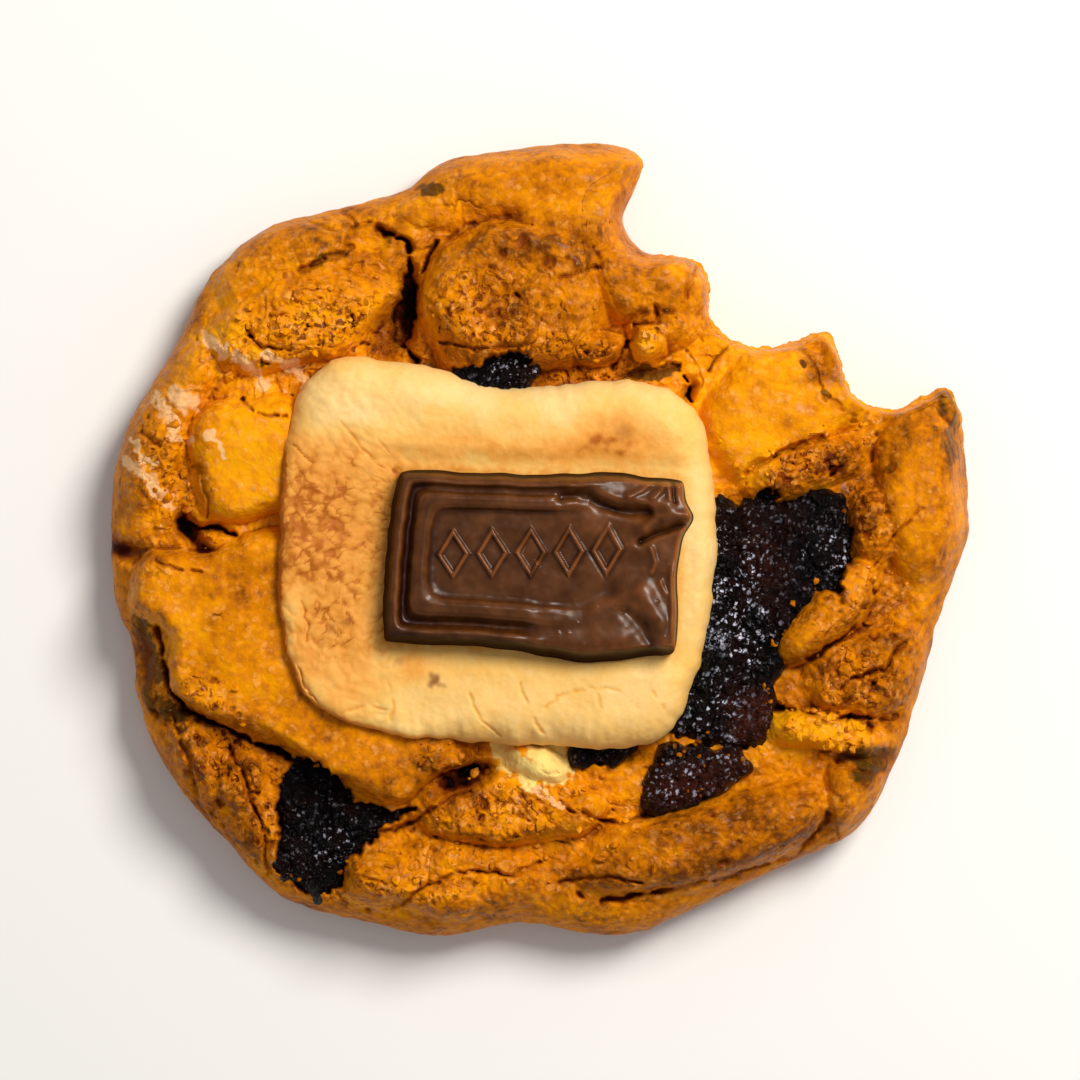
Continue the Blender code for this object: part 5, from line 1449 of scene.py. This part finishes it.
def chocolate_height(want, x, y, across, left, front, back, right):
    """The milk chocolate's height over each place, and how far it has melted there.

    Its height is the moulded profile over a rounded least distance to the left, front and back
    sides, and melts into a soft dome on the right. Folds add a bell-shaped ridge or crease along a
    line, and lozenges stand in the panel.
    """
    frame = rounded_least(left, front / 1.12, back / 0.9)
    worn_corner = rounded_least(left / 1.1, front / 1.2, back, power=2.5)
    frame = worn_corner + (frame - worn_corner) * smoothstep(0.6, 2.4, frame)
    silted = 0.12 * bell(back / 0.9, 2.2, 0.6) * smoothstep(2.6, 5.0, left)
    crisp = want.height * (moulded(frame) + silted)
    edge = rounded_least(left / 1.4, front / 1.2, back / 0.9, right / 0.5)
    dome = smoothstep(-0.3, 1.1, edge)
    soft = want.height * (0.84 + 0.05 * bell(y, -8.0, 3.4) + 0.04 * noise(x, y, 5.0, 301)) * dome
    soft += 0.32 * bell(right, 0.75, 0.3) * smoothstep(1.5, 3.0, front) * smoothstep(9.0, 11.5, back)
    soft += 0.55 * smoothstep(2.6, 4.8, y - 0.12 * (10 - x)) * smoothstep(0, 1.2, edge)
    reach = -2.5 + 13.5 * bell(across, 0.47, 0.2) + 6.5 * smoothstep(0.68, 0.95, across)
    melted = smoothstep(-1.5, 5.0, x - reach + 1.2 * noise(x, y, 4.0, 302))
    height = crisp + (soft - crisp) * melted
    bent_x, bent_y = x + 0.3 * noise(x, y, 2.0, 303), y + 0.3 * noise(x, y, 2.0, 304)
    folds = np.zeros(x.shape)
    for fold in MELTED_FOLDS:
        folds += fold.rise * bell(distance_to_line(bent_x, bent_y, fold.points), 0, fold.breadth)
    height = height + folds * smoothstep(0.0, 0.9, edge)
    height = height + 0.34 * lozenge_row(x, y) * (1 - 0.45 * melted)
    pocked, _, tag = pebbles(np.dstack([x, y, 0 * x]), 0.9, 305)
    height += 0.1 * (tag < 0.3) * smoothstep(0.3, 0.1, pocked) * smoothstep(2.0, -4.0, y) * melted
    height = height + 0.09 * noise(x, y, 2.2, 306) + 0.04 * noise(x, y, 0.9, 307)
    return np.maximum(height, 0.5), melted


def make_chocolate(want):
    """The milk chocolate: a moulded frame, groove and sunk panel that melt towards the right.

    Rings of a unit square are laid over the piece's four corners, and its sides bulge and draw in.
    """
    u, v = square_rings(want)
    front_left, front_right, back_right, back_left = (np.array(c) for c in CHOCOLATE_CORNERS)
    u3, v3 = u[..., None], v[..., None]
    flat = (1 - v3) * ((1 - u3) * front_left + u3 * front_right)
    flat = flat + v3 * ((1 - u3) * back_left + u3 * back_right)
    x, y = flat[..., 0].copy(), flat[..., 1].copy()
    flat[..., 0] += 1.1 * u**6 * bell(y, 2.5, 1.5) - 0.4 * u**4 * bell(y, -4.0, 3.0)
    flat[..., 0] -= 0.5 * (1 - u) ** 4 * np.sin(np.pi * v) + 0.25 * (1 - u) ** 4 * noise(y, y + 9, 3.0, 311)
    flat[..., 1] -= (1 - v) ** 3 * (1.3 * bell(x, 4.6, 6.0) + 0.3 * noise(x, x + 5, 4.0, 312))
    flat[..., 1] += v**4 * (0.4 * noise(x, x + 7, 5.0, 313) + 0.5 * bell(x, 8.0, 4.0) - 0.2)
    length = np.linalg.norm(front_right - front_left)
    width = np.linalg.norm(back_left - front_left)
    left, front, back, right = u * length, v * width, (1 - v) * width, (1 - u) * length
    height, melted = chocolate_height(want, x, y, v, left, front, back, right)
    top = np.dstack([flat, want.base + height])
    low = top[-1].copy()
    away = low[:, :2] - low[:, :2].mean(axis=0)
    away /= np.linalg.norm(away, axis=1)[:, None]
    skirt = []
    for s, flare in CHOCOLATE_SIDE:
        ring = low.copy()
        ring[:, 2] += s * (want.base - CHOCOLATE_SINK - low[:, 2])
        ring[:, :2] += away * flare
        skirt.append(ring)
    rows = np.concatenate([top, skirt])
    z = rows[..., 2]
    # Painted highlights where a point stands above its neighbours, painted shade where it lies below them
    painted_light = np.clip((z - blurred(z, 20)) * 1.8, -0.5, 0.5)
    # Painted shade on the left and the front, away from the light
    painted_light -= 0.1 * smoothstep(-11.0, -15.0, rows[..., 0]) + 0.06 * smoothstep(-6.0, -10.0, rows[..., 1])
    sides = 1 - smoothstep(0.3, 1.1, rounded_least(left, front / 1.2, right / 0.25, back / 0.6))
    # Painted shade on the sides and on the skirt below them, a little lighter where it has melted
    painted_light[: sides.shape[0]] -= 0.6 * sides - 0.08 * melted
    painted_light[sides.shape[0] :] = -0.6
    upper = np.zeros(z.shape)
    upper[: sides.shape[0]] = 1 - sides
    values = ("painted_light", painted_light), ("upper", upper)
    return make_piece("milk_chocolate_segment", rows, milk_chocolate(want), values)


def bell(value, middle, breadth):
    """A bell, e to the power of minus the square of the distance from its middle in breadths."""
    return np.exp(-(((value - middle) / breadth) ** 2))


def rounded_least(*distances, power=5.5):
    """About the least of the distances, with the corners between them rounder for a lower power."""
    return sum(np.maximum(d, 0.02) ** -power for d in distances) ** (-1 / power)


def moulded(inward):
    """The moulded profile at each distance inward, its corners rounded by a running mean."""
    at = np.linspace(-0.6, 12, 1000)
    heights = np.interp(at, *np.array(MOULDED).T)
    kernel = np.hanning(25)
    return np.interp(inward, at[12:-12], np.convolve(heights, kernel / kernel.sum(), "valid"))


def lozenge_row(x, y):
    """Five plain lozenges in a row: raised outlines where the weighted sum of |x| and |y| is even."""
    raised = np.zeros(x.shape)
    off_row = np.abs(y - LOZENGE_Y - LOZENGE_SLOPE * x) / LOZENGE_HALF[1]
    for middle in LOZENGE_PLACES:
        reach = np.abs(x - middle) / LOZENGE_HALF[0] + off_row
        line = np.abs(reach - 0.82)
        raised = np.maximum(raised, 1 - smoothstep(0.05, 0.24, line)) - 0.22 * bell(line, 0.31, 0.08)
    return raised


def make_mass(mass, spacing, material):
    """A mass of dark chocolate: its outline drawn in ring by ring, under a rounded shoulder.

    Its broken lumps are one less the squared distance to the nearest random point, in two sizes,
    each standing higher or lower by chance.
    """
    edge = mass_curve(mass, spacing)
    ragged = 1.1 + 1.3 * noise(*edge.T, 2.2, 35) + 0.8 * noise(*edge.T, 1.0, 36)
    edge = softened(edge + outward(softened(edge, 1.2)) * ragged[:, None], 0.3)
    middle = edge.mean(axis=0)
    steps = int(np.linalg.norm(edge - middle, axis=1).max() / spacing)
    shares = np.linspace(0.03, 1, steps)
    flats = np.array([middle + s * (softened(edge, 1.5 * (1 - s)) - middle) for s in shares])
    x, y = flats[..., 0], flats[..., 1]
    drop = 1 - np.sqrt(1 - np.clip((shares - 0.8) / 0.2, 0, 1) ** 2)
    crag = waves(x, y, CHUNK_CRAGS, 31)
    places = np.dstack([x, y, np.zeros(x.shape)])
    places = places + 0.4 * np.stack([noise(x, y, 0.9, 33 + k) for k in range(3)], axis=-1)
    near, after, tag = pebbles(places, 1.5, 221)
    grit, grit_after, grit_tag = pebbles(places, 0.7, 231)
    lumps = 0.6 * (0.4 - near**2) + 1.1 * (tag - 0.5) * smoothstep(0.0, 0.25, after - near)
    lumps += 0.28 * (0.4 - grit**2) + 0.5 * (grit_tag - 0.5) * smoothstep(0.0, 0.3, grit_after - grit)
    z = mass.top - SHOULDER_DROP * drop[:, None] + (crag + lumps) * (1 - 0.6 * drop[:, None])
    rows = [np.dstack([flats, z])]
    for s in CHUNK_SIDE:
        ring = rows[0][-1].copy()
        ring[:, 2] += s * (CHUNK_FOOT_Z - ring[:, 2])
        rows.append(ring[None])
    rows = np.concatenate(rows)
    x, y = carried(rows[..., 0], rows[..., 1], CHUNK_WAVES, 241)
    # The third value is how thickly painted glints cluster
    values = (
        in_zones(x, y, CRUMBLY_CHOCOLATE), in_zones(x, y, WHITENED_CHOCOLATE),
        np.clip(0.12 + 1.5 * in_zones(x, y, SPARKLING_CHOCOLATE), 0, 1),
    )
    return make_piece(mass.nodes[0] + "_broken", rows, material, list(zip(CHUNK_ATTRIBUTES, values)))


def read_points(pieces, source, label, width):
    """The named values of every point of the pieces' meshes, one row a point."""
    found = []
    for piece in pieces:
        mesh = piece.data
        data = mesh.vertices if source == "vertices" else mesh.attributes[source].data
        values = np.empty(len(data) * width, np.float32)
        data.foreach_get(label, values)
        found.append(values.reshape(-1, width))
    return np.concatenate(found)


def crumb_weight(x, y, on_dough):
    """How likely a crumb is at each place, of which the first ones are on dough.

    Crumbs lie thickest in the crumbly areas, and on the chocolate near its border.
    """
    weight = np.zeros(len(x))
    for zone in CRUMB_ZONES:
        weight += zone.value * np.exp(-1.5 * out_of_oval(x, y, zone) ** 2)
    for streak in OOZES:
        weight *= distance_to_line(x, y, streak.points) > 2.0 * streak.half_width
    x, y = x[on_dough:], y[on_dough:]
    off_border = np.full(len(x), np.inf)
    for mass in MASSES[:3]:
        line = closed_spline(mass.edge, 3)
        off_border = np.minimum(off_border, distance_to_line(x, y, np.vstack([line, line[:1]])))
    weight[on_dough:] = 0.6 * bell(off_border, 0, 0.7) * (noise(x, y, 3.2, 37) > 0.05)
    return weight


def make_crumbs(dough, chocolate, want, look):
    """Loose crumbs, each a twenty-sided ball pulled out of round, resting on dough and chocolate.

    Their places are drawn by a seeded rule from the points of the dough and of the chocolate.
    """
    rng = np.random.default_rng(want.seed)
    points = read_points([*dough, *chocolate], "vertices", "co", 3) / MM
    normals = read_points([*dough, *chocolate], "vertices", "normal", 3)
    baked = read_points(dough, "baked", "value", 1)[:, 0]
    on_dough = len(baked)
    baked = np.append(baked, np.full(len(points) - on_dough, CRUMB_ON_CHOCOLATE))
    weight = crumb_weight(points[:, 0], points[:, 1], on_dough)
    weight *= (normals[:, 2] > 0.5) & (points[:, 2] > CRUMB_FLOOR)
    chosen = rng.choice(len(points), want.count, p=weight / weight.sum())
    ball = np.array(BALL_CORNERS) / np.hypot(1, GOLDEN)
    radius = want.smallest + (want.largest - want.smallest) * rng.random(want.count) ** 2.5
    radius = np.where(chosen < on_dough, radius, np.minimum(radius, 2 * want.smallest))
    stretch = 1 + 0.7 * (rng.random((want.count, 1, 3)) - 0.5)
    lumpy = 1 + 0.8 * (rng.random((want.count, len(ball), 1)) - 0.5)
    width = radius[:, None, None]
    shaped = ball[None] * lumpy * stretch * width / 2
    placed = shaped + points[chosen][:, None] + normals[chosen][:, None] * width * CRUMB_RISE
    triangles = np.array(BALL_FACES)[None] + len(ball) * np.arange(want.count)[:, None, None]
    flat = placed.reshape(-1, 3)
    shade = np.clip(baked[chosen] + 0.3 * (rng.random(want.count) - 0.5), 0, 1)
    zero = np.zeros(len(flat))
    told = {"baked": np.repeat(shade, len(ball)), "upper": zero + 1}
    values = [(label, told.get(label, zero)) for label in DOUGH_ATTRIBUTES]
    faces = [triangles.reshape(-1, 3)]
    return make_mesh("loose_crumbs", flat, faces, baked_dough(look), values, smooth=False)


def colour_setting(name, description, hex_colour):
    """A colour for the sidebar, given as sRGB hex and kept as linear red, green and blue."""
    return FloatVectorProperty(
        name=name, description=description, default=linear(hex_colour), subtype="COLOR", min=0, max=1,
    )


def length_setting(name, description, millimetres):
    """A length for the sidebar, in millimetres."""
    return FloatProperty(name=name, description=description, default=millimetres, min=0, soft_max=200)


def count_setting(name, description, count):
    """A whole number for the sidebar."""
    return IntProperty(name=name, description=description, default=count, min=4)


class SmoresDough(bpy.types.PropertyGroup):
    dough_height: length_setting("Dough height", "Plain dough above the table, in millimetres", 10.2)
    steps_round: count_setting("Steps round", "Points in each ring of the surface", 1440)
    steps_over: count_setting("Steps over", "Rings over the crust", 122)
    steps_down: count_setting("Steps down", "Rings down the side to its widest line", 34)
    steps_foot: count_setting("Steps at the foot", "Rings from the widest line to the foot", 14)
    pale: colour_setting("Pale", "Dough that has hardly browned", "#F0A20A")
    golden: colour_setting("Golden", "Lightly baked crust", "#E99205")
    amber: colour_setting("Amber", "Evenly baked crust", "#D68004")
    brown: colour_setting("Brown", "Well baked crust", "#B96805")
    dark: colour_setting("Dark", "The darkest crust", "#733C06")
    # Pit shade and depth are painted shade: red brown in pores and cracks, near black in deep holes
    pit_shade: colour_setting("Pit", "Pores and shallow cracks", "#6E250A")
    depth: colour_setting("Depth", "Deep holes between folds", "#0E0603")
    # Olive is partly real staining and partly painted shade
    olive: colour_setting("Olive", "Dark olive stains", "#46300C")
    cream: colour_setting("Cream", "Smears of melted marshmallow", "#F4BE84")
    # Pale grains, partly grains of the crust and partly painted highlights
    sugar_and_glint: colour_setting("Sugar", "Bright grains in the crust", "#F7A84A")
    ooze: colour_setting("Ooze", "Marshmallow that has run out", "#F4D680")


class SmoresMarshmallow(bpy.types.PropertyGroup):
    top: length_setting("Top", "Height of the puffed top, in millimetres", 16.6)
    shoulder: length_setting("Shoulder", "Height where the top meets the dough, in millimetres", 12.6)
    rounding: length_setting("Rounding", "Width of the rounded shoulder, in millimetres", 4.2)
    steps_round: count_setting("Steps round", "Points in each ring of the surface", 720)
    steps_over: count_setting("Steps over", "Rings over the top", 110)
    cream: colour_setting("Cream", "Skin that has not toasted", "#F3CF8C")
    straw: colour_setting("Straw", "Skin that has just turned", "#F1BE66")
    toast: colour_setting("Toast", "Lightly toasted skin", "#EEA84C")
    tan: colour_setting("Tan", "Well toasted skin", "#DF9233")
    deep: colour_setting("Deep", "The darkest toasting", "#B4620F")
    burnt: colour_setting("Burnt", "Scorched spots", "#7A3410")


class SmoresChocolate(bpy.types.PropertyGroup):
    base: length_setting("Base", "Height of its underside, in millimetres", 16.2)
    height: length_setting("Height", "From its underside to the top of its frame, in millimetres", 4.7)
    steps_round: count_setting("Steps round", "Points in each ring of the surface", 760)
    steps_over: count_setting("Steps over", "Rings over the top", 118)
    # Shade is the painted shade of grooves and sides, and the paler brown a painted highlight on ridges
    shade: colour_setting("Shade", "Its darkest brown", "#260B03")
    milk: colour_setting("Milk", "Its even brown", "#4C280A")
    bloom_and_highlight: colour_setting("Bloom", "Paler brown on worn ridges", "#874C22")


class SmoresChunks(bpy.types.PropertyGroup):
    spacing: length_setting("Spacing", "Between points of the surface, in millimetres", 0.21)
    black: colour_setting("Black", "Broken dark chocolate", "#040203")
    umber: colour_setting("Umber", "Its browner parts", "#451B0E")
    # Pale specks: painted glints, and partly a real whitened powder
    bloom_and_highlight: colour_setting("Bloom", "Pale specks on it", "#E6E8FF")


class SmoresCrumbs(bpy.types.PropertyGroup):
    count: count_setting("Count", "How many loose crumbs there are", 520)
    seed: count_setting("Seed", "Picks where the crumbs lie", 17)
    smallest: length_setting("Smallest", "Width of the smallest crumb, in millimetres", 0.3)
    largest: length_setting("Largest", "Width of the largest crumb, in millimetres", 1.3)


class SmoresStage(bpy.types.PropertyGroup):
    camera_height: length_setting("Camera height", "Camera above the table, in millimetres", 700.0)
    frame_width: length_setting("Frame width", "What the camera sees across, in millimetres", 124.2)
    key_power: FloatProperty(
        name="Key power", description="Power of the main light", default=3.9, unit="POWER",
    )
    sky: FloatProperty(
        name="Sky", description="Strength of the even light from all round", default=0.34, min=0,
    )


SETTINGS = {
    "smores_dough": SmoresDough,
    "smores_marshmallow": SmoresMarshmallow,
    "smores_chocolate": SmoresChocolate,
    "smores_chunks": SmoresChunks,
    "smores_crumbs": SmoresCrumbs,
    "smores_stage": SmoresStage,
}


def settle(piece, slot, *nodes):
    """Lets a finished piece ride on the part and stand for its nodes."""
    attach(piece, "root")
    if nodes:
        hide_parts(*nodes)


class SMORES_OT_dough(bpy.types.Operator):
    """Builds the bitten cookie's dough"""

    bl_idname = "smores.dough"
    bl_label = "Cookie Dough"

    def execute(self, context):
        for piece in make_dough(context.scene.smores_dough):
            settle(piece, "baked_dough", "cookie")
        return {"FINISHED"}


class SMORES_OT_marshmallow(bpy.types.Operator):
    """Builds the toasted marshmallow"""

    bl_idname = "smores.marshmallow"
    bl_label = "Toasted Marshmallow"

    def execute(self, context):
        piece = make_marshmallow(context.scene.smores_marshmallow)
        settle(piece, "toasted_marshmallow", "marshmallow")
        return {"FINISHED"}


class SMORES_OT_chocolate(bpy.types.Operator):
    """Builds the softened milk chocolate segment"""

    bl_idname = "smores.chocolate"
    bl_label = "Milk Chocolate"

    def execute(self, context):
        piece = make_chocolate(context.scene.smores_chocolate)
        settle(piece, "milk_chocolate", "chocolate_piece")
        return {"FINISHED"}


class SMORES_OT_chunks(bpy.types.Operator):
    """Builds the dark chocolate chunks that show through the dough"""

    bl_idname = "smores.chunks"
    bl_label = "Dark Chocolate Chunks"

    def execute(self, context):
        want = context.scene.smores_chunks
        material = dark_chocolate(want)
        for mass in MASSES:
            settle(make_mass(mass, want.spacing, material), "dark_chocolate", *mass.nodes)
        return {"FINISHED"}


class SMORES_OT_crumbs(bpy.types.Operator):
    """Scatters loose crumbs over the dough"""

    bl_idname = "smores.crumbs"
    bl_label = "Loose Crumbs"

    def execute(self, context):
        dough = [piece for piece in bpy.data.objects if piece.name in ("dough_middle", "dough_crust")]
        chocolate = [piece for piece in bpy.data.objects if piece.name.endswith("_broken")]
        if not dough or not chocolate:
            raise RuntimeError("build the dough and the chunks before the crumbs")
        crumbs = make_crumbs(dough, chocolate, context.scene.smores_crumbs, context.scene.smores_dough)
        settle(crumbs, "baked_dough")
        return {"FINISHED"}


class SMORES_OT_stage(bpy.types.Operator):
    """Sets up the floor, the lights and the camera straight above"""

    bl_idname = "smores.stage"
    bl_label = "Studio Stage"

    def execute(self, context):
        scene, want = context.scene, context.scene.smores_stage
        corners = FLOOR_HALF * np.array([(-1, -1, 0), (1, -1, 0), (1, 1, 0), (-1, 1, 0)])
        floor = make_mesh("floor", corners, [np.array([[0, 1, 2, 3]])], studio_paper())
        world = bpy.data.worlds.new("studio_air")
        world.use_nodes = True
        air = world.node_tree.nodes["Background"].inputs
        air["Color"].default_value = (1, 1, 1, 1)
        air["Strength"].default_value = want.sky
        scene.world = world
        key = bpy.data.lights.new("key", "AREA")
        key.shape, key.size = "DISK", LIGHT_WIDTH
        key.energy, key.color = want.key_power, LIGHT_COLOUR
        lamp = bpy.data.objects.new("key", key)
        lamp.location = LIGHT_PLACE
        lamp.rotation_euler = (-lamp.location).to_track_quat("-Z", "Y").to_euler()
        scene.collection.objects.link(lamp)
        lens = bpy.data.cameras.new("overhead")
        lens.sensor_width = SENSOR_WIDTH
        lens.lens = SENSOR_WIDTH * (want.camera_height - FRAMED_HEIGHT) / want.frame_width
        lens.clip_start, lens.clip_end = 0.01, 10.0
        camera = bpy.data.objects.new("overhead", lens)
        camera.location = (0, 0, want.camera_height * MM)
        scene.collection.objects.link(camera)
        scene.camera = camera
        scene.view_settings.view_transform = "Standard"
        return {"FINISHED"}


OPERATORS = (
    SMORES_OT_stage, SMORES_OT_dough, SMORES_OT_marshmallow, SMORES_OT_chocolate, SMORES_OT_chunks,
    SMORES_OT_crumbs,
)


class SMORES_PT_panel(bpy.types.Panel):
    """Lists the pieces of the cookie, each with a button that builds it"""

    bl_idname = "SMORES_PT_panel"
    bl_label = "Smores Cookie"
    bl_space_type = "VIEW_3D"
    bl_region_type = "UI"
    bl_category = "Cookie"

    def draw(self, context):
        for operator in OPERATORS:
            self.layout.operator(operator.bl_idname)


def register():
    """Adds the settings, the operators and the panel to Blender."""
    for made in (*SETTINGS.values(), *OPERATORS, SMORES_PT_panel):
        bpy.utils.register_class(made)
    for label, group in SETTINGS.items():
        setattr(bpy.types.Scene, label, PointerProperty(type=group))


def unregister():
    """Takes them out again."""
    for label in SETTINGS:
        delattr(bpy.types.Scene, label)
    for made in reversed((*SETTINGS.values(), *OPERATORS, SMORES_PT_panel)):
        bpy.utils.unregister_class(made)


def main():
    """Builds the stage and every piece."""
    register()
    for operator in OPERATORS:
        group, label = operator.bl_idname.split(".")
        getattr(getattr(bpy.ops, group), label)()


if __name__ == "__main__":
    main()
